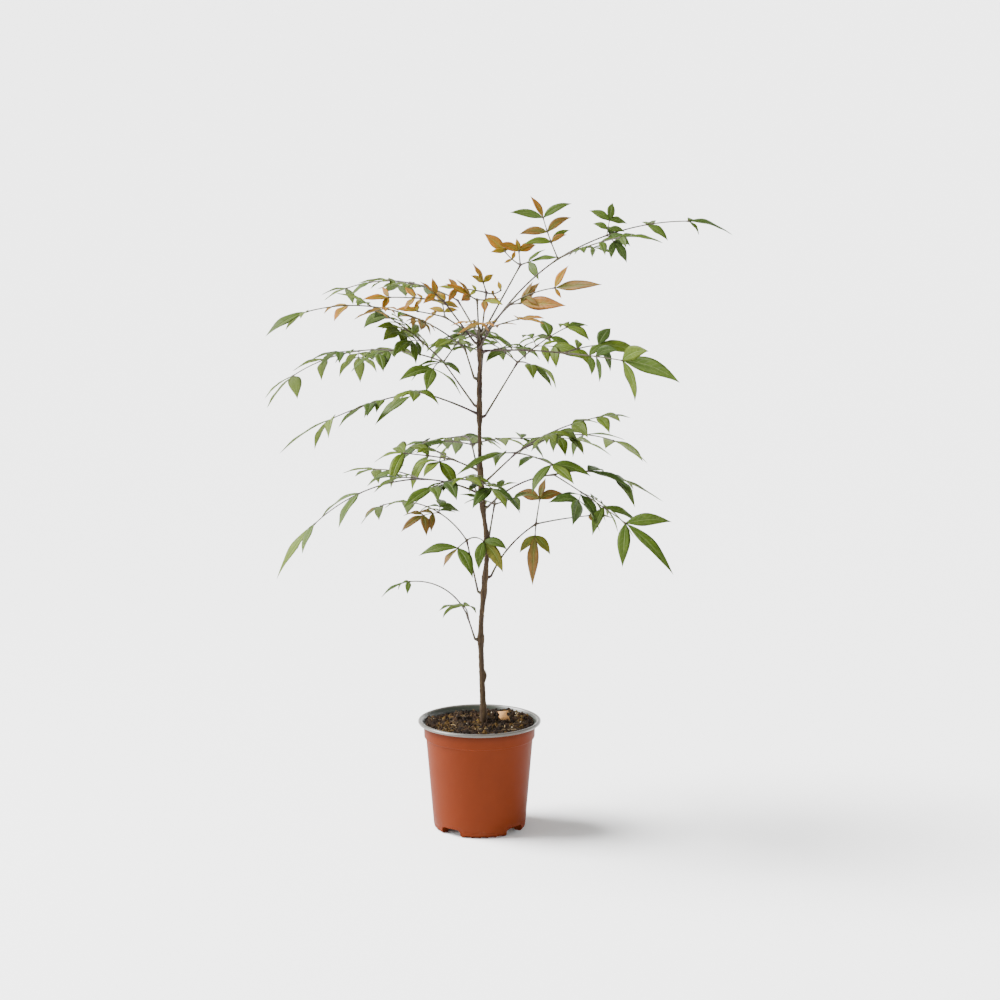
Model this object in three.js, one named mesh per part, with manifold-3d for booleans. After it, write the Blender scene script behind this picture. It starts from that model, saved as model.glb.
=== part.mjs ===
// A young heavenly bamboo (Nandina domestica) in a round nursery pot of potting compost.
// Millimetres, +Z up. The origin is the centre of the pot's underside, and the pot stands on z = 0.
//
// One cane stem rises from the compost. Each compound leaf is a bare stalk that ends in a fork,
// and a mass of foliage that grows from that fork: arms with pairs of leaflets at their joints.
// Bearings are in degrees about +Z, with 0 along +X and 90 along +Y. Pitches are above level.

import * as THREE from "three";
import { mergeVertices } from "three/addons/utils/BufferGeometryUtils.js";
import Module from "manifold-3d";

const wasm = await Module();
wasm.setup();

// ---------------------------------------------------------------- driving dimensions

const GAP = 0.3; // between two pieces that meet

const POT = {
  height: 117,
  rimRadius: 65,
  rimDepth: 3.6,
  collarRadius: 59.2,
  collarHeight: 14,
  collarStep: 1.6,
  baseRadius: 48.5,
  wall: 1.2,
  footWidth: 5.5,
  footHeight: 4.5,
  centreFoot: 13,
  sides: 28,
};
const DRAIN = { count: 4, width: 15, height: 4, depth: 14, bearing: 51 };

const SOIL = { level: 114, edgeDrop: 3, seatRadius: 8, lump: 1.5 };

const STEM = {
  top: 531,
  baseRadius: 3.2,
  topRadius: 1.8,
  flare: 1.7,
  flareHeight: 9,
  nodeSwell: 1.1,
  nodeReach: 7,
  sides: 8,
  spacing: 16,
  leastSpan: 3,
};
// Where the cane's centre leans to: height, sideways (+X) and back (+Y).
const STEM_LEAN = [
  [114, 4.6, 0],
  [165, 2.6, 1],
  [215, 1.6, 2],
  [262, 5.4, 1],
  [306, 8.2, -1],
  [345, 3.7, -1],
  [385, 1.2, 0],
  [440, 0.4, 1],
  [531, 0.6, 0],
];

const STALK = { baseRadius: 1.3, tipRadius: 0.9, knee: 2.4, sides: 5, spacing: 30 };
const KNUCKLE = { footRadius: 0.9, radius: 1.5, height: 3.6, sides: 5 };
const TWIG = { rootRadius: 0.95, tipRadius: 0.65, sideRadius: 0.55, spacing: 38, setBack: 1 };
const LEAF = { width: 0.355, keel: 0.012, fold: 0.06, root: 0.32, tipSag: 0.6, steps: 12, longest: 34 };
// How leaflets and side twigs leave an arm. Joints stop short of its root by a share of their span.
const SPRAY = {
  jointShare: 0.93,
  tipPairs: 2,
  pairSpread: 54,
  trefoilSpread: 58,
  twigShare: 0.4,
  twigVary: 0.25,
  twigDroop: 12,
  outerShare: 0.8,
};
// How far a leaflet may differ from the rest, as shares and in degrees.
const VARY = { size: 0.12, width: 0.12, sag: 0.3, roll: 20, bearing: 10, pitch: 8 };
const STEP = 4; // between the points that limbs are worked out at
const JOIN_TOLERANCE = 0.02; // edges shorter than this are closed up where pieces are joined

// How far limbs and leaflets keep off those of other masses, and off those of their own.
const REACH = { leaf: 2.4, limb: 1.6, kin: 1.2 };

// The compound leaves, from the lowest up. z is the height on the stem, rise the stalk's pitch, and
// arch how far that pitch falls along it. Sag is how far a leaflet's tip bends down. Each arm turns
// off the stalk's bearing, starts at the pitch lift and falls by droop over its length. It ends in a
// leaflet as long as leaf, and has joints that bear leaflets as long as side: pairs on the joints
// nearest its tip, and trefoils on those further in. Tip is the length of the last pair where that
// differs, inner that of the trefoils, under the share of it on one side, and broad the share of the
// usual width. Roll tips an arm's pairs out of the level, and twist its trefoils.
const FRONDS = [
  {
    name: "low_left", z: 203, bearing: 200, rise: 72, length: 23, seed: 3, sag: 74,
    arms: [
      { turn: 5, lift: 68, droop: 70, length: 86, joints: 1, leaf: 32, side: 19 },
      { turn: 15, lift: 88, droop: 66, length: 16, joints: 1, leaf: 42, side: 31 },
    ],
  },
  {
    name: "lower_left", z: 253, bearing: 160, rise: 77, length: 53, seed: 2, sag: 45,
    arms: [
      { turn: -10, lift: 52, droop: 76, length: 119, joints: 3, leaf: 30, side: 32 },
      { turn: 160, lift: 40, droop: 72, length: 26, joints: 1, leaf: 36, side: 32, roll: 50 },
      { turn: 80, lift: -10, droop: 9, length: 20, joints: 1, leaf: 26, side: 43 },
    ],
  },
  {
    name: "lower_right", z: 270, bearing: 10, rise: 49, arch: 34, length: 71, seed: 5, sag: 40,
    arms: [
      { turn: 60, lift: 66, droop: 5, length: 28, joints: 1, leaf: 23, side: 28 },
      { turn: -5, lift: 12, droop: 8, length: 58, joints: 1, leaf: 26, side: 24 },
      { turn: -108, lift: -52, droop: 14, length: 14, joints: 1, leaf: 47, side: 25 },
    ],
  },
  {
    name: "inner_right", z: 311, bearing: 70, rise: 62, length: 34, seed: 7, sag: 35,
    arms: [
      { turn: -90, lift: 20, droop: 0, length: 24, joints: 1, leaf: 20, side: 21 },
      { turn: 0, lift: 63, droop: 32, length: 22, joints: 1, leaf: 24, side: 21 },
      { turn: 80, lift: 20, droop: 9, length: 15, joints: 1, leaf: 26, side: 24 },
    ],
  },
  {
    name: "mid_right", z: 345, bearing: -25, rise: 28, arch: 37, length: 84, seed: 4, sag: 32,
    arms: [
      { turn: 30, lift: 15, droop: 36, length: 64, joints: 2, leaf: 60, side: 50 },
      {
        turn: -17, lift: -20, droop: 4, length: 104, joints: 3,
        leaf: 78, side: 48, roll: 25, broad: 0.9,
      },
    ],
  },
  {
    name: "mid_front", z: 352, bearing: -105, rise: 38, length: 40, seed: 30, sag: 42,
    arms: [
      { turn: -20, lift: 18, droop: 30, length: 68, joints: 3, leaf: 44, side: 36 },
      { turn: 40, lift: 10, droop: 20, length: 50, joints: 2, leaf: 40, side: 36 },
    ],
  },
  {
    name: "mid_left", z: 360, bearing: 195, rise: 16, arch: 23, length: 60, seed: 6, sag: 34,
    arms: [
      { turn: 5, lift: 2, droop: 43, length: 125, joints: 2, leaf: 70, tip: 46, side: 64 },
      { turn: 40, lift: 14, droop: 7, length: 36, joints: 1, leaf: 40, side: 36 },
      { turn: -65, lift: 8, droop: 16, length: 79, joints: 2, leaf: 30, side: 36 },
    ],
  },
  {
    name: "mid_back", z: 372, bearing: 100, rise: 30, length: 56, seed: 8, sag: 40,
    arms: [
      { turn: 0, lift: 10, droop: 30, length: 92, joints: 3, leaf: 40, side: 36 },
      { turn: 50, lift: 7, droop: 18, length: 61, joints: 2, leaf: 34, side: 39 },
      { turn: -55, lift: 7, droop: 17, length: 76, joints: 2, leaf: 36, side: 39 },
    ],
  },
  {
    name: "mid_left_high", z: 384, bearing: 160, rise: 19, length: 24, seed: 9, sag: 58,
    arms: [
      { turn: 5, lift: 7, droop: 5, length: 54, joints: 2, leaf: 40, side: 47, roll: -20 },
      { turn: -30, lift: 11, droop: 0, length: 26, joints: 1, leaf: 34, side: 31 },
      { turn: 85, lift: 8, droop: 8, length: 32, joints: 1, leaf: 34, side: 36 },
    ],
  },
  {
    name: "mid_right_high", z: 372, bearing: -15, rise: 44, length: 42, seed: 35, sag: 42,
    arms: [
      { turn: 3, lift: 37, droop: 24, length: 96, joints: 3, leaf: 32, side: 36 },
      { turn: 60, lift: 17, droop: 37, length: 152, joints: 3, leaf: 46, side: 45 },
      { turn: -135, lift: 9, droop: 9, length: 15, joints: 1, leaf: 56, side: 48 },
      { turn: -40, lift: 4, droop: 15, length: 64, joints: 2, leaf: 38, side: 41 },
    ],
  },
  {
    name: "upper_right", z: 440, bearing: 0, rise: 59, length: 63, seed: 11, sag: 55,
    arms: [
      { turn: 35, lift: 36, droop: 18, length: 72, joints: 3, leaf: 30, tip: 34, side: 36, roll: 20 },
      { turn: 140, lift: 31, droop: 10, length: 37, joints: 2, leaf: 26, side: 29 },
      { turn: -60, lift: 14, droop: 26, length: 26, joints: 1, leaf: 42, side: 43 },
    ],
  },
  {
    name: "upper_left", z: 444, bearing: 200, rise: 22, arch: 10, length: 63, seed: 12, sag: 48,
    arms: [
      { turn: 12, lift: -4, droop: 14, length: 104, joints: 2, leaf: 64, side: 46, roll: 20 },
      { turn: 5, lift: -24, droop: 0, length: 10, joints: 0, leaf: 46 },
      { turn: 65, lift: 15, droop: 10, length: 30, joints: 1, leaf: 36, side: 36 },
    ],
  },
  {
    name: "upper_left_long", z: 451, bearing: 160, rise: 52, length: 53, seed: 13, sag: 46,
    arms: [
      { turn: -5, lift: 17, droop: 50, length: 188, joints: 4, leaf: 50, side: 41 },
      { turn: 25, lift: 46, droop: 16, length: 100, joints: 4, leaf: 34, side: 36 },
      { turn: -140, lift: 22, droop: 0, length: 49, joints: 1, leaf: 32, side: 33 },
      { turn: 102, lift: 12, droop: 22, length: 66, joints: 2, leaf: 38, side: 39 },
    ],
  },
  {
    name: "upper_back", z: 466, bearing: 85, rise: 46, length: 46, seed: 25, sag: 44,
    arms: [
      { turn: 10, lift: 28, droop: 42, length: 96, joints: 3, leaf: 38, side: 34 },
      { turn: 60, lift: 20, droop: 20, length: 44, joints: 2, leaf: 34, side: 34 },
      { turn: -50, lift: 14, droop: 20, length: 44, joints: 2, leaf: 32, side: 32 },
    ],
  },
  {
    name: "crown_left_long", z: 480, bearing: 190, rise: 73, length: 29, seed: 14, sag: 42,
    arms: [
      { turn: 15, lift: 42, droop: 54, length: 188, joints: 4, leaf: 46, tip: 30, side: 34, inner: 24 },
      { turn: 50, lift: 40, droop: 30, length: 30, joints: 2, leaf: 36, side: 33 },
    ],
  },
  {
    name: "crown_right", z: 508, bearing: -12, rise: 0, arch: 10, length: 81, seed: 15, sag: 56,
    arms: [
      { turn: -20, lift: 0, droop: 5, length: 70, joints: 2, leaf: 68, tip: 44, side: 30, roll: 85 },
      { turn: 32, lift: 17, droop: 14, length: 40, joints: 1, leaf: 46, side: 34, roll: 40 },
    ],
  },
  {
    name: "top_front_young", z: 513, bearing: -70, rise: 45, length: 28, seed: 16, sag: 25,
    arms: [
      { turn: 35, lift: 20, droop: 5, length: 40, joints: 1, leaf: 34, side: 27 },
      { turn: -40, lift: 20, droop: 10, length: 44, joints: 2, leaf: 34, side: 28 },
    ],
  },
  {
    name: "top_left_young", z: 517, bearing: 205, rise: 52, length: 54, seed: 17, sag: 18,
    arms: [
      { turn: -5, lift: 40, droop: 0, length: 12, joints: 1, leaf: 21, side: 21, roll: -40 },
      { turn: -33, lift: 8, droop: 10, length: 58, joints: 2, leaf: 28, tip: 19, side: 21, roll: -40 },
    ],
  },
  {
    name: "top_back_young", z: 518, bearing: 75, rise: 66, length: 50, seed: 18, sag: 18,
    arms: [
      { turn: 60, lift: 66, droop: 0, length: 12, joints: 1, leaf: 26, side: 20 },
      { turn: 95, lift: 12, droop: 10, length: 32, joints: 1, leaf: 22, side: 18, roll: -40 },
      { turn: -60, lift: -30, droop: -60, length: 20, joints: 1, leaf: 17, side: 15, roll: 40 },
    ],
  },
  {
    name: "top_right_long", z: 521, bearing: 8, rise: 47, arch: 26, length: 110, seed: 19, sag: 44,
    arms: [
      {
        turn: 14, lift: 28, droop: 30, length: 155, joints: 3,
        leaf: 56, tip: 22, side: 43, inner: 30, under: 0.8, roll: 20, twist: 75,
      },
      { turn: -38, lift: 26, droop: 14, length: 78, joints: 3, leaf: 42, tip: 20, side: 26, inner: 22 },
      {
        turn: 142, lift: 62, droop: -10, length: 46, joints: 3, pairs: 3,
        leaf: 24, tip: 34, side: 29, roll: -62, broad: 0.75,
      },
    ],
  },
  {
    name: "top_middle_young", z: 522, bearing: -95, rise: 64, length: 44, seed: 26, sag: 22,
    arms: [
      {
        turn: -60, lift: 24, droop: -12, length: 10, joints: 1,
        leaf: 28, side: 22, roll: -40, broad: 1.15,
      },
      {
        turn: 60, lift: 6, droop: 10, length: 10, joints: 1,
        leaf: 25, side: 18, roll: 30, broad: 1.15,
      },
    ],
  },
  {
    name: "top_left_low_young", z: 523, bearing: 150, rise: 26, length: 38, seed: 20, sag: 45,
    arms: [
      { turn: 10, lift: 11, droop: 4, length: 32, joints: 1, leaf: 24, side: 24, roll: -30 },
      { turn: -50, lift: 40, droop: 5, length: 20, joints: 1, leaf: 28, side: 27 },
    ],
  },
  {
    name: "top_right_back", z: 526, bearing: 52, rise: 46, length: 89, seed: 21, sag: 25,
    arms: [
      { turn: 98, lift: 24, droop: -24, length: 24, joints: 1, leaf: 27, side: 16, roll: -50 },
      { turn: 48, lift: 50, droop: -20, length: 17, joints: 1, leaf: 15, side: 27 },
      { turn: -60, lift: 25, droop: 10, length: 10, joints: 1, leaf: 32, side: 30, roll: 30 },
    ],
  },
  {
    name: "top_left_arch", z: 527, bearing: 125, rise: 41, length: 43, seed: 45, sag: 30,
    arms: [
      { turn: 17, lift: 21, droop: 40, length: 158, joints: 4, leaf: 32, side: 30 },
    ],
  },
  {
    name: "top_right_young", z: 527, bearing: -45, rise: 40, length: 48, seed: 60, sag: 14,
    arms: [
      {
        turn: 25, lift: 33, droop: 24, length: 53, joints: 1,
        leaf: 45, side: 27, under: 0.5, roll: 64, broad: 0.85,
      },
      { turn: 20, lift: 9, droop: 0, length: 13, joints: 1, leaf: 45, side: 28, under: 0.8, roll: 56 },
    ],
  },
];

const COLOURS = {
  pot: 0xb4623a,
  soil: 0x3a2a1e,
  stem: 0x6d5238,
  stalk: 0x4d3a33,
  green: 0x56803a,
  young: 0xb97c34,
};

// ---------------------------------------------------------------- small helpers

const { lerp, clamp, smoothstep } = THREE.MathUtils;
const RAD = Math.PI / 180;

// A repeatable stream of numbers from 0 to 1.
function seededRandom(seed) {
  let state = (seed * 69621) % 2147483647;
  return () => (state = (state * 48271) % 2147483647) / 2147483647;
}

function heading(bearing, pitch) {
  const level = Math.cos(pitch * RAD);
  return new THREE.Vector3(
    level * Math.cos(bearing * RAD),
    level * Math.sin(bearing * RAD),
    Math.sin(pitch * RAD),
  );
}

// Three square directions: along a heading, to its left and up, the last two rolled about the first.
function frameAt({ bearing, pitch }, roll = 0) {
  const along = heading(bearing, pitch);
  const left = heading(bearing + 90, 0);
  const up = along.clone().cross(left);
  const c = Math.cos(roll * RAD);
  const s = Math.sin(roll * RAD);
  return {
    along,
    side: left.clone().multiplyScalar(c).addScaledVector(up, s),
    up: up.multiplyScalar(c).addScaledVector(left, -s),
  };
}

function offset(point, frame, side, up) {
  return point.clone().addScaledVector(frame.side, side).addScaledVector(frame.up, up);
}

// A path that keeps its bearing while its pitch falls evenly, as stations with a place and heading.
function droopingPath(start, { bearing, pitch }, droop, length, steps) {
  const path = [{ at: start.clone(), bearing, pitch }];
  for (let i = 0; i < steps; i++) {
    const way = heading(bearing, pitch - (droop * (i + 0.5)) / steps);
    const at = path[i].at.clone().addScaledVector(way, length / steps);
    path.push({ at, bearing, pitch: pitch - (droop * (i + 1)) / steps });
  }
  return path;
}

function limbPath(start, way, droop, length) {
  return droopingPath(start, way, droop, length, Math.max(2, Math.round(length / STEP)));
}

// The numbers of a limb's stations that get a ring: its ends, its joints, and those that part any
// longer span into about even ones.
function ringStations(path, spacing, joints = []) {
  const marks = [...new Set([0, ...joints, path.length - 1])].sort((a, b) => a - b);
  return marks.flatMap((mark, i) => {
    if (i === 0) return [mark];
    const span = mark - marks[i - 1];
    const parts = Math.max(1, Math.round((span * STEP) / spacing));
    return Array.from({ length: parts }, (_, k) => mark - Math.round((span * (parts - 1 - k)) / parts));
  });
}

// A regular section, its corners anticlockwise about the heading.
function ring(station, frame, radius, sides) {
  return Array.from({ length: sides }, (_, k) => {
    const a = (2 * Math.PI * (k + 0.5)) / sides;
    return offset(station.at, frame, radius * Math.cos(a), radius * Math.sin(a));
  });
}

// A three-cornered section: its left and right edges, and its keel below.
function vee(station, frame, half, fold, keel) {
  return [
    offset(station.at, frame, half, fold),
    offset(station.at, frame, -half, fold),
    offset(station.at, frame, 0, -keel),
  ];
}

const twigRing = (station, radius) =>
  vee(station, frameAt(station), radius * 0.87, radius * 0.5, radius);

// A closed surface over rings of equally many points, with a flat cap at each end.
function loft(rings) {
  const n = rings[0].length;
  const positions = rings.flat().flatMap((p) => [p.x, p.y, p.z]);
  const index = [];
  for (let r = 0; r + 1 < rings.length; r++) {
    for (let k = 0; k < n; k++) {
      const a = r * n + k;
      const b = r * n + ((k + 1) % n);
      index.push(a, b, b + n, a, b + n, a + n);
    }
  }
  const last = (rings.length - 1) * n;
  for (let k = 1; k + 1 < n; k++) {
    index.push(0, k + 1, k, last, last + k, last + k + 1);
  }
  const geometry = new THREE.BufferGeometry();
  geometry.setAttribute("position", new THREE.Float32BufferAttribute(positions, 3));
  geometry.setIndex(index);
  return geometry;
}

function toSolid(geometry) {
  const bare = new THREE.BufferGeometry();
  bare.setAttribute("position", geometry.getAttribute("position"));
  bare.setIndex(geometry.index);
  const merged = mergeVertices(bare, 1e-4);
  const corners = merged.index.array;
  const triVerts = [];
  for (let i = 0; i < corners.length; i += 3) {
    const [a, b, c] = corners.slice(i, i + 3);
    if (a !== b && b !== c && c !== a) triVerts.push(a, b, c);
  }
  return new wasm.Manifold(
    new wasm.Mesh({
      numProp: 3,
      vertProperties: new Float32Array(merged.attributes.position.array),
      triVerts: new Uint32Array(triVerts),
      tolerance: JOIN_TOLERANCE,
    }),
  );
}

function toGeometry(solid) {
  const mesh = solid.getMesh();
  const geometry = new THREE.BufferGeometry();
  geometry.setAttribute("position", new THREE.Float32BufferAttribute(mesh.vertProperties, 3));
  geometry.setIndex(Array.from(mesh.triVerts));
  geometry.computeVertexNormals();
  return geometry;
}

function namedMesh(name, geometry, color, roughness) {
  const material = new THREE.MeshStandardMaterial({ color, roughness, metalness: 0 });
  const mesh = new THREE.Mesh(geometry, material);
  mesh.name = name;
  return mesh;
}

// ---------------------------------------------------------------- stem

// The cane's centre at a height, on a smooth line through the lean points.
function stemCentre(z) {
  const last = STEM_LEAN.length - 1;
  let i = 0;
  while (i < last - 1 && z > STEM_LEAN[i + 1][0]) i++;
  const [before, from, to, after] = [i - 1, i, i + 1, i + 2].map((k) => STEM_LEAN[clamp(k, 0, last)]);
  const span = to[0] - from[0];
  const t = (z - from[0]) / span;
  const lean = (axis) => {
    const slope = (a, b) => ((b[axis] - a[axis]) / (b[0] - a[0])) * span;
    const start = slope(before, to);
    const end = slope(from, after);
    return (
      (2 * t ** 3 - 3 * t ** 2 + 1) * from[axis] +
      (t ** 3 - 2 * t ** 2 + t) * start +
      (3 * t ** 2 - 2 * t ** 3) * to[axis] +
      (t ** 3 - t ** 2) * end
    );
  };
  return new THREE.Vector3(lean(1), lean(2), z);
}

// The cane tapers upwards, flares at the ground and swells where stalks leave it.
function stemRadius(z) {
  const above = z - SOIL.level;
  const taper = lerp(STEM.baseRadius, STEM.topRadius, above / (STEM.top - SOIL.level));
  const flare = STEM.flare * Math.exp(-above / STEM.flareHeight);
  const crowd = FRONDS.reduce((sum, f) => sum + Math.exp(-(((z - f.z) / STEM.nodeReach) ** 2)), 0);
  return taper + flare + STEM.nodeSwell * Math.min(crowd, 1);
}

// The heights of the stem's rings: the ground, each node, the top, and evenly between them.
function stemLevels() {
  const marks = [...FRONDS.map((frond) => frond.z), STEM.top].sort((a, b) => a - b);
  const levels = [SOIL.level + GAP];
  for (const mark of marks) {
    const from = levels[levels.length - 1];
    if (mark - from < STEM.leastSpan) continue;
    const spans = Math.ceil((mark - from) / STEM.spacing);
    for (let k = 1; k <= spans; k++) levels.push(lerp(from, mark, k / spans));
  }
  return levels;
}

function stemGeometry() {
  const upright = frameAt({ bearing: 0, pitch: 90 });
  const rings = stemLevels().map((z) =>
    ring({ at: stemCentre(z) }, upright, stemRadius(z), STEM.sides),
  );
  const tip = stemCentre(STEM.top).setZ(STEM.top + STEM.topRadius * 2);
  rings.push(ring({ at: tip }, upright, STEM.topRadius * 0.4, STEM.sides));
  return loft(rings);
}

// ---------------------------------------------------------------- keeping clear

// Balls on the limbs and leaflets placed so far, each with the name of the node it belongs to.
const placed = [];

function isClear(points, owner, reach) {
  return !points.some((p) =>
    placed.some((ball) => {
      const room = ball.owner === owner ? REACH.kin : reach + ball.reach;
      return p.distanceToSquared(ball.at) < room * room;
    }),
  );
}

function claim(points, owner, reach) {
  for (const at of points) placed.push({ at, owner, reach });
}

const places = (path) => path.map((station) => station.at);

// ---------------------------------------------------------------- stalks

// The stalk springs from the stem with a short level knee, then rises to its fork.
function stalkPath({ z, bearing, rise, arch = 0, length }) {
  const out = heading(bearing, 0);
  const root = stemCentre(z).addScaledVector(out, stemRadius(z) + GAP);
  const knee = root.clone().addScaledVector(out, STALK.knee);
  knee.z += STALK.knee / 2;
  return [
    { at: root, bearing, pitch: 0 },
    ...limbPath(knee, { bearing, pitch: rise + arch / 2 }, arch, length),
  ];
}

function stalkGeometry([root, ...rising]) {
  const rings = ringStations(rising, STALK.spacing).map((i) => {
    const station = rising[i];
    const lean = { bearing: station.bearing, pitch: i ? station.pitch : station.pitch / 2 };
    const radius = lerp(STALK.baseRadius, STALK.tipRadius, i / (rising.length - 1));
    return ring(station, frameAt(lean), radius, STALK.sides);
  });
  return loft([ring(root, frameAt(root), STALK.baseRadius, STALK.sides), ...rings]);
}

// ---------------------------------------------------------------- leaflets

// Half the blade's width at a share of its length: broad before the middle, drawn out to its tip.
function halfWidth(leaf, share) {
  return 0.5 * leaf.width * Math.sin(Math.PI * share ** 0.8) ** 0.9;
}

function leafletPath(leaf) {
  return droopingPath(leaf.root, leaf, leaf.sag, leaf.length, LEAF.steps);
}

function leafletPoints(leaf, path) {
  return path.slice(3).flatMap((station, i) => {
    const frame = frameAt(station, leaf.roll);
    const half = halfWidth(leaf, (i + 3) / LEAF.steps);
    return [-0.85, -0.3, 0.3, 0.85].map((share) => offset(station.at, frame, half * share, 0));
  });
}

// The blade's sections past its root, out to its point. A long blade has one more bend.
function bladeRings(leaf) {
  const path = leafletPath(leaf);
  const bends = leaf.length > LEAF.longest ? [4, 8] : [5];
  const keel = Math.max(LEAF.keel * leaf.length, LEAF.root);
  const tip = path[LEAF.steps].at;
  return [
    ...bends.map((i) => {
      const half = halfWidth(leaf, i / LEAF.steps);
      return vee(path[i], frameAt(path[i], leaf.roll), half, half * LEAF.fold, keel);
    }),
    [tip, tip, tip],
  ];
}

// ---------------------------------------------------------------- masses of foliage

// Turns tried in order where a twig or leaflet would run into another.
const TURNS = [0, 20, -20, 40, -40];

// What grows from a heading, turned until its points are clear, or null where it is skipped.
function growClear(mass, way, reach, grow) {
  for (const turn of TURNS) {
    const grown = grow({ bearing: way.bearing + turn, pitch: way.pitch + Math.abs(turn) / 4 });
    if (!isClear(grown.points, mass.name, reach)) continue;
    claim(grown.points, mass.name, reach);
    return grown;
  }
  return null;
}

// A twig's path. Its first stations, beside what it grows from, are not held clear.
function growPath(mass, start, way, droop, length, free) {
  const grown = growClear(mass, way, REACH.limb, (turned) => {
    const path = limbPath(start, turned, droop, length);
    return { path, points: places(path.slice(free)) };
  });
  return grown?.path;
}

// A leaflet of about a length, its size, sag and heading varied a little.
function growLeaflet(mass, root, way, length, share = 1) {
  const vary = (spread) => (mass.random() * 2 - 1) * spread;
  const size = length * (1 + vary(VARY.size));
  const width = size * LEAF.width * mass.broad * (1 + vary(VARY.width));
  const sag = mass.sag * share * (1 + vary(VARY.sag));
  const roll = way.roll + vary(VARY.roll);
  const varied = { bearing: way.bearing + vary(VARY.bearing), pitch: way.pitch + vary(VARY.pitch) };
  const grown = growClear(mass, varied, REACH.leaf, (turned) => {
    const leaf = { root, length: size, width, sag, roll, ...turned };
    return { leaf, points: leafletPoints(leaf, leafletPath(leaf)) };
  });
  return grown?.leaf;
}

// The heading of what leaves a station to one side, at a spread from the station's own, and the
// roll that keeps its face in the station's plane.
function sideWay(station, side, spread) {
  const frame = frameAt(station, station.roll);
  const way = frame.along
    .multiplyScalar(Math.cos(spread * RAD))
    .addScaledVector(frame.side, side * Math.sin(spread * RAD));
  const lean = { bearing: Math.atan2(way.y, way.x) / RAD, pitch: Math.asin(clamp(way.z, -1, 1)) / RAD };
  const level = frameAt(lean);
  return { ...lean, roll: Math.atan2(-frame.up.dot(level.side), frame.up.dot(level.up)) / RAD };
}

// A twig that runs on into the leaflet at its end, as one body.
function addTwig(mass, path, joints, rootRadius, tipRadius, length, roll) {
  const last = path.length - 1;
  const rings = ringStations(path, TWIG.spacing, joints).map((i) =>
    twigRing(path[i], lerp(rootRadius, tipRadius, i / last)),
  );
  const tip = path[last];
  const leaf = growLeaflet(mass, tip.at, { ...tip, roll }, length, LEAF.tipSag);
  if (leaf) rings.push(...bladeRings(leaf));
  mass.solids.push(toSolid(loft(rings)));
}

// Two leaflets across a twig, their roots sunk in it just short of a station.
function addPair(mass, station, length, spread, under = 1) {
  const root = station.at.clone().addScaledVector(frameAt(station).along, -TWIG.setBack);
  for (const side of [1, -1]) {
    const size = side > 0 ? length : length * under;
    const leaf = growLeaflet(mass, root, sideWay(station, side, spread), size);
    if (!leaf) continue;
    const foot = vee({ at: root }, frameAt(leaf, leaf.roll), LEAF.root, LEAF.root * 0.4, LEAF.root);
    mass.solids.push(toSolid(loft([foot, ...bladeRings(leaf)])));
  }
}

// A side twig with a pair of leaflets and one at its tip.
function addTrefoil(mass, station, side, length, spread) {
  const way = sideWay(station, side, spread);
  const stalk = length * (SPRAY.twigShare + SPRAY.twigVary * mass.random());
  const path = growPath(mass, station.at, way, SPRAY.twigDroop, stalk, 2);
  if (!path) return;
  addTwig(mass, path, [], TWIG.sideRadius, TWIG.sideRadius, length, way.roll);
  addPair(mass, { ...path[path.length - 1], roll: way.roll }, length * SPRAY.outerShare, SPRAY.trefoilSpread);
}

// Joints are even along an arm, from its tip inwards. The ones nearest the tip bear pairs of
// leaflets, and those further in bear pairs of trefoils.
function addArm(mass, hub, frond, arm) {
  const way = { bearing: frond.bearing + arm.turn, pitch: arm.lift };
  const path = growPath(mass, hub, way, arm.droop, arm.length, 3);
  if (!path) return;
  const last = path.length - 1;
  const inwards = (k) => 1 - (k * SPRAY.jointShare) / arm.joints;
  const joints = Array.from({ length: arm.joints }, (_, k) => Math.round(last * inwards(k)));
  mass.broad = arm.broad ?? 1;
  const { tip = arm.side, inner = arm.side, under = 1 } = arm;
  const { pairs = SPRAY.tipPairs, roll = 0, twist = 0 } = arm;
  addTwig(mass, path, joints, TWIG.rootRadius, TWIG.tipRadius, arm.leaf, roll);
  for (const [k, joint] of joints.entries()) {
    const nearTip = k < pairs;
    const jolt = (mass.random() * 2 - 1) * VARY.roll;
    const station = { ...path[joint], roll: (nearTip ? roll : twist) + jolt };
    if (nearTip) {
      addPair(mass, station, k > 0 ? arm.side : tip, SPRAY.pairSpread, under);
    } else {
      addTrefoil(mass, station, 1, inner, SPRAY.trefoilSpread);
      addTrefoil(mass, station, -1, inner * under, SPRAY.trefoilSpread);
    }
  }
}

// The knuckle where the arms of a mass part, standing just clear of its stalk's tip.
function growFoliage(frond, fork) {
  const mass = {
    name: `foliage_${frond.name}`,
    random: seededRandom(frond.seed),
    sag: frond.sag,
    broad: 1,
    solids: [],
  };
  const frame = frameAt(fork);
  const station = (distance) => ({ at: fork.at.clone().addScaledVector(frame.along, distance) });
  const { footRadius, radius, height, sides } = KNUCKLE;
  const knuckle = loft([
    ring(station(GAP), frame, footRadius, sides),
    ring(station(GAP + height / 2), frame, radius, sides),
    ring(station(GAP + height), frame, footRadius, sides),
  ]);
  mass.solids.push(toSolid(knuckle));
  for (const arm of frond.arms) addArm(mass, station(GAP + height / 2).at, frond, arm);
  return mass;
}

// ---------------------------------------------------------------- pot and compost

// The wall's outer radius at a height, up to the foot of the collar.
function wallRadius(z) {
  const top = POT.collarRadius - POT.collarStep - 0.9;
  return lerp(POT.baseRadius, top, z / (POT.height - POT.collarHeight));
}

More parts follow.
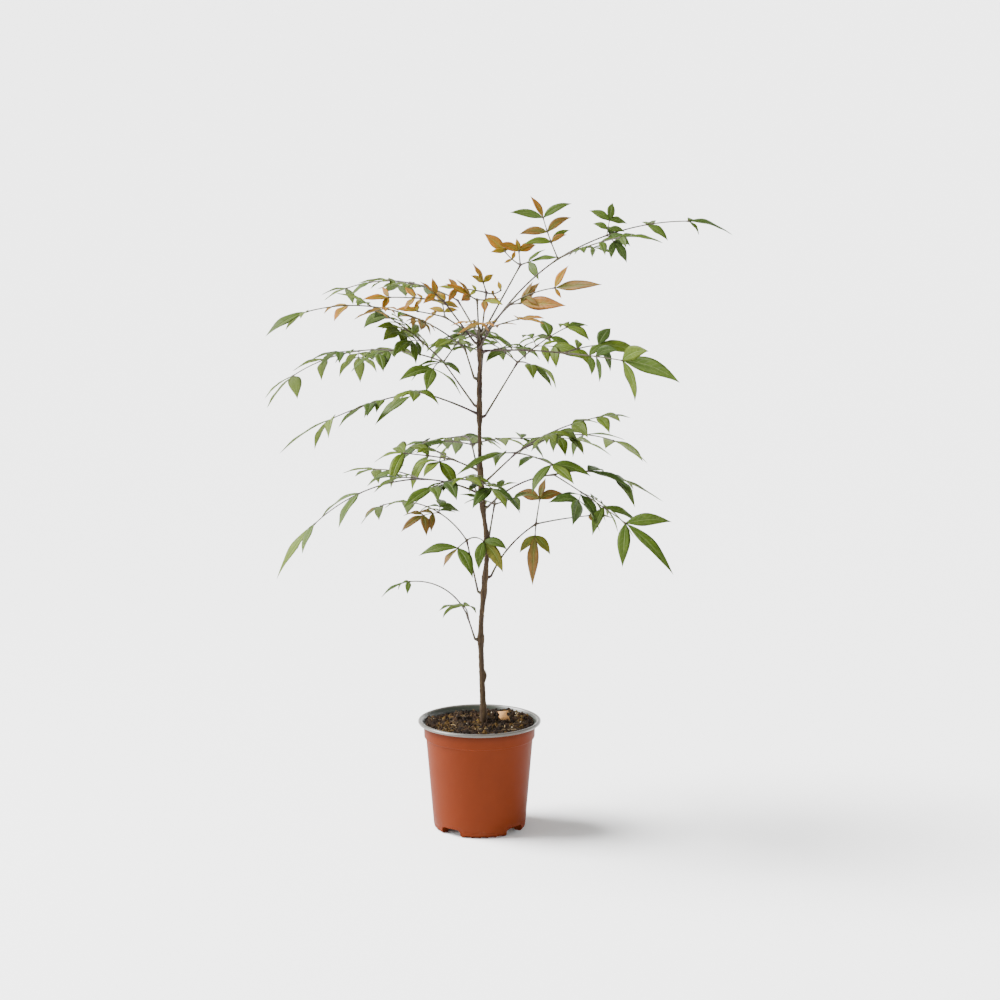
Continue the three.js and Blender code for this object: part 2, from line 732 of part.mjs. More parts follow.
// A thin shell: rolled rim, collar, tapering wall, and a base pressed into a ring and a centre foot.
function potGeometry() {
  const { height, rimRadius, collarRadius, baseRadius, wall, centreFoot, footHeight } = POT;
  const rimUnder = height - POT.rimDepth;
  const collarFoot = height - POT.collarHeight;
  const footInner = baseRadius - 2.6 - POT.footWidth;
  const outer = [
    [0, 0],
    [centreFoot, 0],
    [centreFoot + 2, footHeight],
    [footInner - 2, footHeight],
    [footInner, 0],
    [baseRadius - 2.6, 0],
    [baseRadius, 3.4],
    [wallRadius(collarFoot - 1), collarFoot - 1],
    [collarRadius - 0.9, collarFoot],
    [collarRadius, rimUnder],
    [rimRadius - 0.6, rimUnder],
    [rimRadius, rimUnder + 1.6],
    [rimRadius - 1.4, height],
  ];
  const inner = [
    [collarRadius + 1, height - 0.9],
    [collarRadius - wall, rimUnder - 1],
    [collarRadius - 0.9 - wall, collarFoot + 0.6],
    [wallRadius(collarFoot - 1) - wall, collarFoot - 0.6],
    [baseRadius - wall, 3.4],
    [baseRadius - 3.2, wall],
    [footInner + 0.8, wall],
    [footInner - 1.2, footHeight + wall],
    [centreFoot + 1.2, footHeight + wall],
    [centreFoot - 0.8, wall],
    [0, wall],
  ];
  const profile = [...outer, ...inner].map(([r, z]) => new THREE.Vector2(r, z));
  let pot = toSolid(new THREE.LatheGeometry(profile, POT.sides).rotateX(Math.PI / 2));
  for (let k = 0; k < DRAIN.count; k++) {
    const slot = new THREE.BoxGeometry(DRAIN.depth, DRAIN.width, 2 * DRAIN.height);
    slot.translate(baseRadius, 0, 0);
    slot.rotateZ((DRAIN.bearing + (360 / DRAIN.count) * k) * RAD);
    pot = pot.subtract(toSolid(slot));
  }
  return toGeometry(pot);
}

// Compost lumps as a sum of waves, level at the middle where the stem stands.
function soilHeight(x, y) {
  const r = Math.hypot(x, y);
  const waves =
    Math.sin(x * 0.23 + 1) * Math.cos(y * 0.19) +
    0.6 * Math.sin(x * 0.41 - y * 0.37) +
    0.4 * Math.cos(x * 0.11 + y * 0.53) -
    0.6;
  const away = smoothstep(r, SOIL.seatRadius, SOIL.seatRadius * 2);
  return SOIL.level + away * SOIL.lump * waves - SOIL.edgeDrop * smoothstep(r, 20, 56);
}

// The compost fills the pot to the collar. Its top is laid out flat, then raised into lumps.
function soilGeometry() {
  const inset = POT.wall + GAP + 0.2;
  const floor = POT.footHeight + inset;
  const ledge = POT.height - POT.collarHeight;
  const rim = POT.collarRadius - 0.9 - inset;
  const rows = [0.84, 0.67, 0.5, 0.33].map((share) => [rim * share, SOIL.level]);
  const profile = [
    [0, floor],
    [wallRadius(floor) - inset, floor],
    [wallRadius(ledge - 3) - inset, ledge + 1.2],
    [rim, ledge + 2],
    [rim, SOIL.level],
    ...rows,
    [SOIL.seatRadius, SOIL.level],
    [0, SOIL.level],
  ].map(([r, z]) => new THREE.Vector2(r, z));
  const geometry = new THREE.LatheGeometry(profile, POT.sides).rotateX(Math.PI / 2);
  const position = geometry.getAttribute("position");
  for (let i = 0; i < position.count; i++) {
    if (position.getZ(i) < SOIL.level - 1) continue;
    position.setZ(i, soilHeight(position.getX(i), position.getY(i)));
  }
  return toGeometry(toSolid(geometry));
}

// ---------------------------------------------------------------- the plant in its pot

const plant = new THREE.Group();
plant.add(namedMesh("pot", potGeometry(), COLOURS.pot, 0.5));
plant.add(namedMesh("soil", soilGeometry(), COLOURS.soil, 0.95));
plant.add(namedMesh("stem", stemGeometry(), COLOURS.stem, 0.8));
for (let z = SOIL.level; z < STEM.top; z += STEP) claim([stemCentre(z)], "stem", stemRadius(z));

const stalks = FRONDS.map((frond) => ({ frond, path: stalkPath(frond) }));
for (const { frond, path } of stalks) {
  const name = `stalk_${frond.name}`;
  plant.add(namedMesh(name, stalkGeometry(path), COLOURS.stalk, 0.6));
  claim(places(path), name, REACH.limb);
}

for (const { frond, path } of stalks) {
  const mass = growFoliage(frond, path[path.length - 1]);
  const solid = mass.solids.reduce((whole, piece) => whole.add(piece));
  const colour = frond.name.endsWith("young") ? COLOURS.young : COLOURS.green;
  plant.add(namedMesh(mass.name, toGeometry(solid), colour, 0.45));
}

export default plant;
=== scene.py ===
"""Dresses the packed frame of a young heavenly bamboo in its nursery pot.

The growing rule works in millimetres, and MM turns them into Blender's metres. Bearings are in
degrees about +Z, with 0 along +X and 90 along +Y. Pitches are in degrees above level.
"""

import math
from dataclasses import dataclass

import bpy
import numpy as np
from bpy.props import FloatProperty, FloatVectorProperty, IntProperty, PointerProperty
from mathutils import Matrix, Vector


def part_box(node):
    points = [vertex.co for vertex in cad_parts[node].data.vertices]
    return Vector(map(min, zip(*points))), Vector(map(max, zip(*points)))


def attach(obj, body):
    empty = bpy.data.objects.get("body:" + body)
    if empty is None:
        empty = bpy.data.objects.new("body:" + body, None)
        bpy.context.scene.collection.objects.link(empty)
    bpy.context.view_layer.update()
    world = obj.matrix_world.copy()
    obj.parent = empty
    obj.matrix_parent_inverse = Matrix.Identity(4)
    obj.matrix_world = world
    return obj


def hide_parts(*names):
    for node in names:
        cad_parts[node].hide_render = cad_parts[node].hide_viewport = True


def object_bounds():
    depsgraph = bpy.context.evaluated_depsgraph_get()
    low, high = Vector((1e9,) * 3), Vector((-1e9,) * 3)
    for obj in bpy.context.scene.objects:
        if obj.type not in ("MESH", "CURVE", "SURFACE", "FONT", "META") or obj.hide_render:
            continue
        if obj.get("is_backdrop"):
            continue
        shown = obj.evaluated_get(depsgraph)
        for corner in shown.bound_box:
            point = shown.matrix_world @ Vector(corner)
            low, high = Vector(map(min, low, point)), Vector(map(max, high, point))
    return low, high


bl_info = {
    "name": "Potted heavenly bamboo",
    "version": (1, 0, 0),
    "blender": (4, 5, 0),
    "location": "3D View > Sidebar > Plant",
    "description": "Pot, compost, cane, leaf stalks and leaflets around the frame of a "
                   "potted plant",
    "category": "Add Mesh",
}

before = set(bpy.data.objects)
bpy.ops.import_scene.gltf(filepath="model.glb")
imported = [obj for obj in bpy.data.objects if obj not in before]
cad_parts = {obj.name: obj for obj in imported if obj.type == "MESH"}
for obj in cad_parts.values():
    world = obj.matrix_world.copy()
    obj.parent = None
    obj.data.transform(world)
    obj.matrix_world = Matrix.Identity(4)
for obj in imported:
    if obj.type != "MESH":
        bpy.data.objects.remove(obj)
cad_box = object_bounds()
pot_low, pot_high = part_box("pot")
soil_low, soil_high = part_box("soil")

MM = 0.001

# ---------------------------------------------------------------- the plant's sizes

# Where the cane leaves the compost, and the cane's height and radii.
SOIL_LEVEL = 114
CANE = dict(top=531, base=3.2, tip=1.8, flare=1.5, flare_height=14, swell=1.1, node_reach=7)
# Where the cane's centre leans to: height, sideways (+X) and back (+Y).
CANE_LEAN = (
    (114, 4.6, 0),
    (165, 2.6, 1),
    (215, 1.6, 2),
    (262, 5.4, 1),
    (306, 8.2, -1),
    (345, 3.7, -1),
    (385, 1.2, 0),
    (440, 0.4, 1),
    (531, 0.6, 0),
)
# Old leaf scars that ring the bare cane, and the stub of a pruned shoot: height and bearing.
SCARS = (129, 168, 206, 228, 289, 326)
STUB = (162, 5)

# The gap from cane to stalk, the length of a limb's steps, and how a stalk begins and ends.
GAP = 0.3
STEP = 4
STALK_KNEE = 2.4
KNUCKLE_HEIGHT = 3.6
# How far a pair of leaflets sits back from its station, a leaflet's width for its length, the
# steps along it, and how much of its mass's sag a leaflet at a tip has.
TWIG_SET_BACK = 1
LEAF_WIDTH = 0.355
LEAF_STEPS = 12
TIP_SAG = 0.6

# How leaflets and side twigs leave an arm. Arms above finer_from, and all side twigs, also bear a
# smaller pair of leaflets further in.
SPRAY = dict(
    joint_share=0.93,
    pair_spread=54,
    trefoil_spread=58,
    twig_share=0.4,
    twig_vary=0.25,
    twig_droop=12,
    outer_share=0.8,
    finer_share=0.66,
    finer_place=0.42,
    finer_from=440,
    finer_steps=5,
)
# How far leaflets differ from each other.
VARY = dict(size=0.12, width=0.12, sag=0.3, roll=20, bearing=10, pitch=8)

# How far limbs and leaflets keep off those of other masses, and off those of their own.
LEAF_REACH = 2.4
LIMB_REACH = 1.6
KIN_REACH = 1.2
TURNS = (0, 20, -20, 40, -40)


@dataclass
class Arm:
    """One arm of a compound leaf: its turn off the stalk, its path and the leaflets it bears.

    Its joints bear pairs of leaflets, as many as pairs says from the tip inwards, and then pairs
    of trefoils. The leaflet at its end is as long as leaf, and those at its joints as side, or as
    tip at the first joint and inner in the trefoils. The ones on its right are scaled by under.
    Its leaflets' plane is turned by roll near the tip and by twist further in.
    """

    turn: float
    lift: float
    droop: float
    length: float
    joints: int
    leaf: float
    side: float = 0
    tip: float = 0
    inner: float = 0
    under: float = 1
    pairs: int = 2
    roll: float = 0
    twist: float = 0
    broad: float = 1
    tints: str = ""


@dataclass
class Frond:
    """One compound leaf: where its stalk leaves the cane, the stalk's path, and its arms."""

    name: str
    z: float
    bearing: float
    rise: float
    length: float
    seed: int
    sag: float
    arms: list
    arch: float = 0
    palette: str = "green"

    @property
    def young(self):
        return self.name.endswith("young")


FRONDS = [
    Frond("low_left", z=203, bearing=200, rise=72, length=23, seed=3, sag=74, arms=[
        Arm(turn=5, lift=68, droop=70, length=86, joints=1, leaf=32, side=19),
        Arm(turn=15, lift=88, droop=66, length=16, joints=1, leaf=42, side=31),
    ]),
    Frond("lower_left", z=253, bearing=160, rise=77, length=53, seed=2, sag=45,
          palette="turning", arms=[
        Arm(turn=-10, lift=52, droop=76, length=119, joints=3, leaf=30, side=32),
        Arm(turn=160, lift=40, droop=72, length=26, joints=1, leaf=36, side=32, roll=50),
        Arm(turn=80, lift=-10, droop=9, length=20, joints=1, leaf=26, side=43),
    ]),
    Frond("lower_right", z=270, bearing=10, rise=49, arch=34, length=71, seed=5, sag=40,
          palette="turning", arms=[
        Arm(turn=60, lift=66, droop=5, length=28, joints=1, leaf=23, side=28),
        Arm(turn=-5, lift=12, droop=8, length=58, joints=1, leaf=26, side=24),
        Arm(turn=-108, lift=-52, droop=14, length=14, joints=1, leaf=47, side=25),
    ]),
    Frond("inner_right", z=311, bearing=70, rise=62, length=34, seed=7, sag=35, arms=[
        Arm(turn=-90, lift=20, droop=0, length=24, joints=1, leaf=20, side=21),
        Arm(turn=0, lift=63, droop=32, length=22, joints=1, leaf=24, side=21),
        Arm(turn=80, lift=20, droop=9, length=15, joints=1, leaf=26, side=24),
    ]),
    Frond("mid_right", z=345, bearing=-25, rise=28, arch=37, length=84, seed=4, sag=32, arms=[
        Arm(turn=30, lift=15, droop=36, length=64, joints=2, leaf=60, side=50),
        Arm(turn=-17, lift=-20, droop=4, length=104, joints=3, leaf=78, side=48, roll=25,
            broad=0.9),
    ]),
    Frond("mid_front", z=352, bearing=-105, rise=38, length=40, seed=30, sag=42, arms=[
        Arm(turn=-20, lift=18, droop=30, length=68, joints=3, leaf=44, side=36),
        Arm(turn=40, lift=10, droop=20, length=50, joints=2, leaf=40, side=36),
    ]),
    Frond("mid_left", z=360, bearing=195, rise=16, arch=23, length=60, seed=6, sag=34, arms=[
        Arm(turn=5, lift=2, droop=43, length=125, joints=2, leaf=70, tip=46, side=64),
        Arm(turn=40, lift=14, droop=7, length=36, joints=1, leaf=40, side=36),
        Arm(turn=-65, lift=8, droop=16, length=79, joints=2, leaf=30, side=36),
    ]),
    Frond("mid_back", z=372, bearing=100, rise=30, length=56, seed=8, sag=40, arms=[
        Arm(turn=0, lift=10, droop=30, length=92, joints=3, leaf=40, side=36),
        Arm(turn=50, lift=7, droop=18, length=61, joints=2, leaf=34, side=39),
        Arm(turn=-55, lift=7, droop=17, length=76, joints=2, leaf=36, side=39),
    ]),
    Frond("mid_left_high", z=384, bearing=160, rise=19, length=24, seed=9, sag=58,
          palette="light", arms=[
        Arm(turn=5, lift=7, droop=5, length=54, joints=2, leaf=40, side=47, roll=-20),
        Arm(turn=-30, lift=11, droop=0, length=26, joints=1, leaf=34, side=31),
        Arm(turn=85, lift=8, droop=8, length=32, joints=1, leaf=34, side=36),
    ]),
    Frond("mid_right_high", z=372, bearing=-15, rise=44, length=42, seed=35, sag=42, arms=[
        Arm(turn=3, lift=37, droop=24, length=96, joints=3, leaf=32, side=36),
        Arm(turn=60, lift=17, droop=37, length=152, joints=3, leaf=46, side=45),
        Arm(turn=-135, lift=9, droop=9, length=15, joints=1, leaf=56, side=48),
        Arm(turn=-40, lift=4, droop=15, length=64, joints=2, leaf=38, side=41),
    ]),
    Frond("upper_right", z=440, bearing=0, rise=59, length=63, seed=11, sag=55, arms=[
        Arm(turn=35, lift=36, droop=18, length=72, joints=3, leaf=30, tip=34, side=36, roll=20),
        Arm(turn=140, lift=31, droop=10, length=37, joints=2, leaf=26, side=29),
        Arm(turn=-60, lift=14, droop=26, length=26, joints=1, leaf=42, side=43),
    ]),
    Frond("upper_left", z=444, bearing=200, rise=22, arch=10, length=63, seed=12, sag=48, arms=[
        Arm(turn=12, lift=-4, droop=14, length=104, joints=2, leaf=64, side=46, roll=20),
        Arm(turn=5, lift=-24, droop=0, length=10, joints=0, leaf=46),
        Arm(turn=65, lift=15, droop=10, length=30, joints=1, leaf=36, side=36),
    ]),
    Frond("upper_left_long", z=451, bearing=160, rise=52, length=53, seed=13, sag=46, arms=[
        Arm(turn=-5, lift=17, droop=50, length=188, joints=4, leaf=50, side=41),
        Arm(turn=25, lift=46, droop=16, length=100, joints=4, leaf=34, side=36),
        Arm(turn=-140, lift=22, droop=0, length=49, joints=1, leaf=32, side=33),
        Arm(turn=102, lift=12, droop=22, length=66, joints=2, leaf=38, side=39),
    ]),
    Frond("upper_back", z=466, bearing=85, rise=46, length=46, seed=25, sag=44, arms=[
        Arm(turn=10, lift=28, droop=42, length=96, joints=3, leaf=38, side=34),
        Arm(turn=60, lift=20, droop=20, length=44, joints=2, leaf=34, side=34),
        Arm(turn=-50, lift=14, droop=20, length=44, joints=2, leaf=32, side=32),
    ]),
    Frond("crown_left_long", z=480, bearing=190, rise=73, length=29, seed=14, sag=42,
          palette="light", arms=[
        Arm(turn=15, lift=42, droop=54, length=188, joints=4, leaf=46, tip=30, side=34, inner=24,
            tints="mid fresh orange orange copper bronze copper"),
        Arm(turn=50, lift=40, droop=30, length=30, joints=2, leaf=36, side=33),
    ]),
    Frond("crown_right", z=508, bearing=-12, rise=0, arch=10, length=81, seed=15, sag=56, arms=[
        Arm(turn=-20, lift=0, droop=5, length=70, joints=2, leaf=68, tip=44, side=30, roll=85,
            tints="mid fresh deep"),
        Arm(turn=32, lift=17, droop=14, length=40, joints=1, leaf=46, side=34, roll=40),
    ]),
    Frond("top_front_young", z=513, bearing=-70, rise=45, length=28, seed=16, sag=25, arms=[
        Arm(turn=35, lift=20, droop=5, length=40, joints=1, leaf=34, side=27),
        Arm(turn=-40, lift=20, droop=10, length=44, joints=2, leaf=34, side=28),
    ]),
    Frond("top_left_young", z=517, bearing=205, rise=52, length=54, seed=17, sag=18, arms=[
        Arm(turn=-5, lift=40, droop=0, length=12, joints=1, leaf=21, side=21, roll=-40),
        Arm(turn=-33, lift=8, droop=10, length=58, joints=2, leaf=28, tip=19, side=21, roll=-40),
    ]),
    Frond("top_back_young", z=518, bearing=75, rise=66, length=50, seed=18, sag=18, arms=[
        Arm(turn=60, lift=66, droop=0, length=12, joints=1, leaf=26, side=20),
        Arm(turn=95, lift=12, droop=10, length=32, joints=1, leaf=22, side=18, roll=-40),
        Arm(turn=-60, lift=-30, droop=-60, length=20, joints=1, leaf=17, side=15, roll=40),
    ]),
    Frond("top_right_long", z=521, bearing=8, rise=47, arch=26, length=110, seed=19, sag=44, arms=[
        Arm(turn=14, lift=28, droop=30, length=155, joints=3, leaf=56, tip=22, side=43, inner=30,
            under=0.8, roll=20, twist=75),
        Arm(turn=-38, lift=26, droop=14, length=78, joints=3, leaf=42, tip=20, side=26, inner=22),
        Arm(turn=142, lift=62, droop=-10, length=46, joints=3, pairs=3, leaf=24, tip=34, side=29,
            roll=-62, broad=0.75, tints="copper mid bronze fresh"),
    ]),
    Frond("top_middle_young", z=522, bearing=-95, rise=64, length=44, seed=26, sag=22, arms=[
        Arm(turn=-60, lift=24, droop=-12, length=10, joints=1, leaf=28, side=22, roll=-40,
            broad=1.15),
        Arm(turn=60, lift=6, droop=10, length=10, joints=1, leaf=25, side=18, roll=30, broad=1.15),
    ]),
    Frond("top_left_low_young", z=523, bearing=150, rise=26, length=38, seed=20, sag=45, arms=[
        Arm(turn=10, lift=11, droop=4, length=32, joints=1, leaf=24, side=24, roll=-30),
        Arm(turn=-50, lift=40, droop=5, length=20, joints=1, leaf=28, side=27),
    ]),
    Frond("top_right_back", z=526, bearing=52, rise=46, length=89, seed=21, sag=25, arms=[
        Arm(turn=98, lift=24, droop=-24, length=24, joints=1, leaf=27, side=16, roll=-50,
            tints="orange amber"),
        Arm(turn=48, lift=50, droop=-20, length=17, joints=1, leaf=15, side=27,
            tints="amber orange"),
        Arm(turn=-60, lift=25, droop=10, length=10, joints=1, leaf=32, side=30, roll=30),
    ]),
    Frond("top_left_arch", z=527, bearing=125, rise=41, length=43, seed=45, sag=30, arms=[
        Arm(turn=17, lift=21, droop=40, length=158, joints=4, leaf=32, side=30),
    ]),
    Frond("top_right_young", z=527, bearing=-45, rise=40, length=48, seed=60, sag=14, arms=[
        Arm(turn=25, lift=33, droop=24, length=53, joints=1, leaf=45, side=27, under=0.5, roll=64,
            broad=0.85, tints="bronze orange"),
        Arm(turn=20, lift=9, droop=0, length=13, joints=1, leaf=45, side=28, under=0.8, roll=56,
            tints="copper bronze"),
    ]),
]

# ---------------------------------------------------------------- colours


def linear(code):
    """The scene-linear colour of a six-digit display colour."""
    shares = [int(code[i : i + 2], 16) / 255 for i in (0, 2, 4)]
    return tuple(c / 12.92 if c <= 0.04045 else ((c + 0.055) / 1.055) ** 2.4 for c in shares) + (1,)


# Each tint at a leaflet's edges, and beside its rib and foot.
LEAF_TINTS = {
    "deep": (linear("2c3e0c"), linear("2c3e0d")),
    "mid": (linear("35450a"), linear("34460c")),
    "fresh": (linear("43510c"), linear("41520d")),
    "light": (linear("4f5e19"), linear("4e5e1b")),
    "olive": (linear("4e4b10"), linear("41490f")),
    "lime": (linear("66610e"), linear("525e11")),
    "amber": (linear("7c5c0c"), linear("655e0e")),
    "orange": (linear("7c4e09"), linear("6c590c")),
    "copper": (linear("70440d"), linear("634f0e")),
    "bronze": (linear("5d4115"), linear("484610")),
    "rust": (linear("5a3e16"), linear("45410f")),
}
CRUMB_TINTS = {
    "black_peat": "170e07",
    "dark_peat": "27190c",
    "brown_peat": "402e11",
    "moss": "514014",
}
# The last one is the scrap of dry leaf.
FIBRE_TINTS = {
    "brown_root": "604e32",
    "dark_root": "36281b",
    "pale_root": "8b7858",
    "dry_leaf": "a2784c",
}
PALETTES = {
    "green": ("deep", "mid", "mid", "fresh"),
    "light": ("mid", "fresh", "light", "fresh"),
    "turning": ("olive", "bronze", "mid", "rust", "olive"),
    "young": ("orange", "amber", "copper", "orange", "lime"),
}

# ---------------------------------------------------------------- finishes


class Value:
    """One output of a node. Arithmetic on it adds Math nodes."""

    def __init__(self, finish, socket):
        self.finish = finish
        self.socket = socket

    def maths(self, operation, first, second):
        inputs = {0: first, 1: second}
        return self.finish.node("ShaderNodeMath", 0, {"operation": operation}, inputs)

    def __add__(self, other):
        return self.maths("ADD", self, other)

    def __radd__(self, other):
        return self.maths("ADD", other, self)

    def __sub__(self, other):
        return self.maths("SUBTRACT", self, other)

    def __rsub__(self, other):
        return self.maths("SUBTRACT", other, self)

    def __mul__(self, other):
        return self.maths("MULTIPLY", self, other)

    def __rmul__(self, other):
        return self.maths("MULTIPLY", other, self)

    def __gt__(self, other):
        return self.maths("GREATER_THAN", self, other)

    def __abs__(self):
        return self.maths("ABSOLUTE", self, 0)

    def fraction(self):
        return self.maths("FRACT", self, 0)


class Finish:
    """A material that is built of nodes."""

    def __init__(self, name):
        self.material = bpy.data.materials.new(name)
        self.material.use_nodes = True
        self.tree = self.material.node_tree
        self.tree.nodes.clear()

    def node(self, kind, output, settings=None, inputs=None):
        """Adds a node, sets it up, fills its inputs and returns one of its outputs."""
        made = self.tree.nodes.new(kind)
        for name, setting in (settings or {}).items():
            if name == "stops":
                set_stops(made.color_ramp, setting)
            else:
                setattr(made, name, setting)
        for name, given in (inputs or {}).items():
            if isinstance(given, Value):
                self.tree.links.new(given.socket, made.inputs[name])
            else:
                made.inputs[name].default_value = given
        return None if output is None else Value(self, made.outputs[output])

    def place(self, scale=(1, 1, 1)):
        """Object coordinates, stretched or packed along each axis."""
        where = self.node("ShaderNodeTexCoord", "Object")
        return self.node("ShaderNodeMapping", 0, None, {"Vector": where, "Scale": scale})

    def noise(self, scale, detail, roughness=0.5, where=None):
        inputs = {"Vector": where or self.place(), "Scale": scale, "Detail": detail}
        inputs["Roughness"] = roughness
        return self.node("ShaderNodeTexNoise", "Fac", None, inputs)

    def cells(self, scale, where=None):
        inputs = {"Vector": where or self.place(), "Scale": scale}
        return self.node("ShaderNodeTexVoronoi", "Distance", None, inputs)

    def parts(self, vector):
        """The X, Y and Z of a vector."""
        return [self.node("ShaderNodeSeparateXYZ", axis, None, {0: vector}) for axis in range(3)]

    def fade(self, value, low, high):
        """0 below low, 1 above high, and smooth between them."""
        settings = {"interpolation_type": "SMOOTHSTEP"}
        inputs = {"Value": value, "From Min": low, "From Max": high}
        return self.node("ShaderNodeMapRange", 0, settings, inputs)

    def mix(self, share, first, second):
        settings = {"data_type": "RGBA", "clamp_factor": True}
        return self.node("ShaderNodeMix", 2, settings, {0: share, 6: first, 7: second})

    def ramp(self, value, stops):
        return self.node("ShaderNodeValToRGB", 0, {"stops": stops}, {0: value})

    def bump(self, height, distance):
        return self.node("ShaderNodeBump", 0, None, {"Height": height, "Distance": distance})

    def surface(self, **inputs):
        """Ends the material in a Principled surface. Its sockets' spaces are underscores here."""
        named = {name.replace("_", " "): given for name, given in inputs.items()}
        shader = self.node("ShaderNodeBsdfPrincipled", 0, None, named)
        self.node("ShaderNodeOutputMaterial", None, None, {"Surface": shader})
        return self.material


def set_stops(ramp, stops):
    for i, (place, colour) in enumerate(stops):
        stop = ramp.elements[i] if i < 2 else ramp.elements.new(place)
        stop.position = place
        stop.color = colour


def shade(colour, share):
    """A colour, made darker or lighter."""
    return tuple(min(c * share, 1) for c in colour[:3]) + (1,)


def blend_colours(first, second, share):
    return tuple(a + (b - a) * share for a, b in zip(first, second))


def pot_wall_finish(colour):
    """Satin terracotta-coloured plastic: faint flow clouds, a fine grain, specks of dirt, and
    painted shade just under the lip.
    """
    finish = Finish("terracotta_plastic")
    clouds = finish.noise(16, 4, 0.6)
    grain = finish.noise(900, 2)
    height = finish.parts(finish.place())[2]
    low = 1 - finish.fade(height, 0.004, 0.045)
    specks = (1 - finish.fade(finish.cells(75), 0.02, 0.045)) * low
    scuffs = finish.fade(finish.noise(70, 6, 0.75), 0.6, 0.8) * (0.1 + low * 0.3)
    tone = finish.mix(clouds, shade(colour, 0.84), shade(colour, 1.14))
    worn = finish.mix(scuffs, tone, blend_colours(colour, linear("9a755c"), 0.35))
    # Painted shade: the wall darkens towards the underside of the lip, standing in for the lip's
    # shadow.
    painted_lip_shade = finish.fade(height + clouds * 0.002, 0.105, 0.1145)
    lip_shaded_tone = finish.mix(painted_lip_shade * 0.5, worn, shade(colour, 0.2))
    return finish.surface(
        Base_Color=finish.mix(specks * 0.8, lip_shaded_tone, linear("b09b81")),
        Roughness=0.5 + clouds * 0.12 + scuffs * 0.3,
        Normal=finish.bump(grain + clouds * 4 + scuffs * 2, 0.00006),
        Specular_IOR_Level=0.06,
    )


def pot_skin_finish(name, colour, gloss):
    """The grey inner skin of the plastic, which also wraps the lip: clouded, with a few scuffs."""
    finish = Finish(name)
    clouds = finish.noise(60, 4, 0.6)
    scuffs = finish.fade(finish.noise(40, 5, 0.7, finish.place((1, 1, 6))), 0.58, 0.72)
    tone = finish.mix(clouds, shade(colour, 0.85), shade(colour, 1.12))
    return finish.surface(
        Base_Color=finish.mix(scuffs * 0.35, tone, linear("4f4139")),
        Roughness=0.36 + scuffs * 0.2,
        Normal=finish.bump(finish.noise(700, 2) + scuffs * 2, 0.00006),
        Specular_IOR_Level=gloss,
    )


def compost_finish(colour):
    """Moist compost: dark peat with brown and olive flecks."""
    finish = Finish("compost")
    lumps = finish.noise(240, 6, 0.7)
    flecks = finish.cells(900)
    moss = finish.fade(finish.noise(48, 3, 0.6), 0.5, 0.66)
    stops = ((0.34, shade(colour, 0.3)), (0.52, colour), (0.7, shade(colour, 2)))
    mossy = ((0.34, shade(colour, 0.5)), (0.5, linear("33270e")), (0.68, linear("58481a")))
    return finish.surface(
        Base_Color=finish.mix(moss, finish.ramp(lumps, stops), finish.ramp(lumps, mossy)),
        Roughness=0.95,
        Normal=finish.bump(lumps + flecks * 0.5, 0.0012),
        Specular_IOR_Level=0.15,
    )


def crumb_finish(name, colour):
    """One colour of compost crumb, chip or fibre."""
    finish = Finish(name)
    grain = finish.noise(700, 4, 0.65)
    return finish.surface(
        Base_Color=finish.mix(grain, shade(colour, 0.55), shade(colour, 1.45)),
        Roughness=0.92,
        Normal=finish.bump(grain, 0.0005),
        Specular_IOR_Level=0.15,
    )


def crumb_finishes(tints):
    return [crumb_finish(name, linear(code)) for name, code in tints.items()]


def bark_finish(lower, upper):
    """Thin bark, streaked along the cane, brown below and purple-brown towards the top."""
    finish = Finish("cane_bark")
    streaks = finish.noise(420, 5, 0.6, finish.place((1, 1, 0.12)))
    blotches = finish.noise(90, 3, 0.6, finish.place((1, 1, 0.5)))
    pores = finish.fade(finish.cells(700, finish.place((1, 1, 0.45))), 0.12, 0.2)
    height = finish.parts(finish.place())[2]
    aged = finish.mix(finish.fade(height, 0.38, 0.5), lower, upper)
    streaked = finish.mix(finish.fade(streaks, 0.38, 0.66), aged, linear("3e301d"))
    worn = finish.mix(finish.fade(blotches, 0.5, 0.7) * 0.6, streaked, linear("231911"))
    return finish.surface(
        Base_Color=finish.mix((1 - pores) * 0.25, worn, linear("584932")),
        Roughness=0.62 + streaks * 0.2,
        Normal=finish.bump(streaks * 2 + blotches + pores * 0.4, 0.0005),
        Specular_IOR_Level=0.15,
    )


def stalk_finish(name, dark, light):
    """Smooth skin of the stalks and twigs, flushed with purple in patches."""
    finish = Finish(name)
    flush = finish.fade(finish.noise(55, 3, 0.6), 0.38, 0.62)
    grain = finish.noise(1500, 3, 0.6, finish.place((1, 1, 0.3)))
    return finish.surface(
        Base_Color=finish.mix(flush, dark, light),
        Roughness=0.42 + grain * 0.2,
        Normal=finish.bump(grain, 0.00012),
        Specular_IOR_Level=0.3,
    )


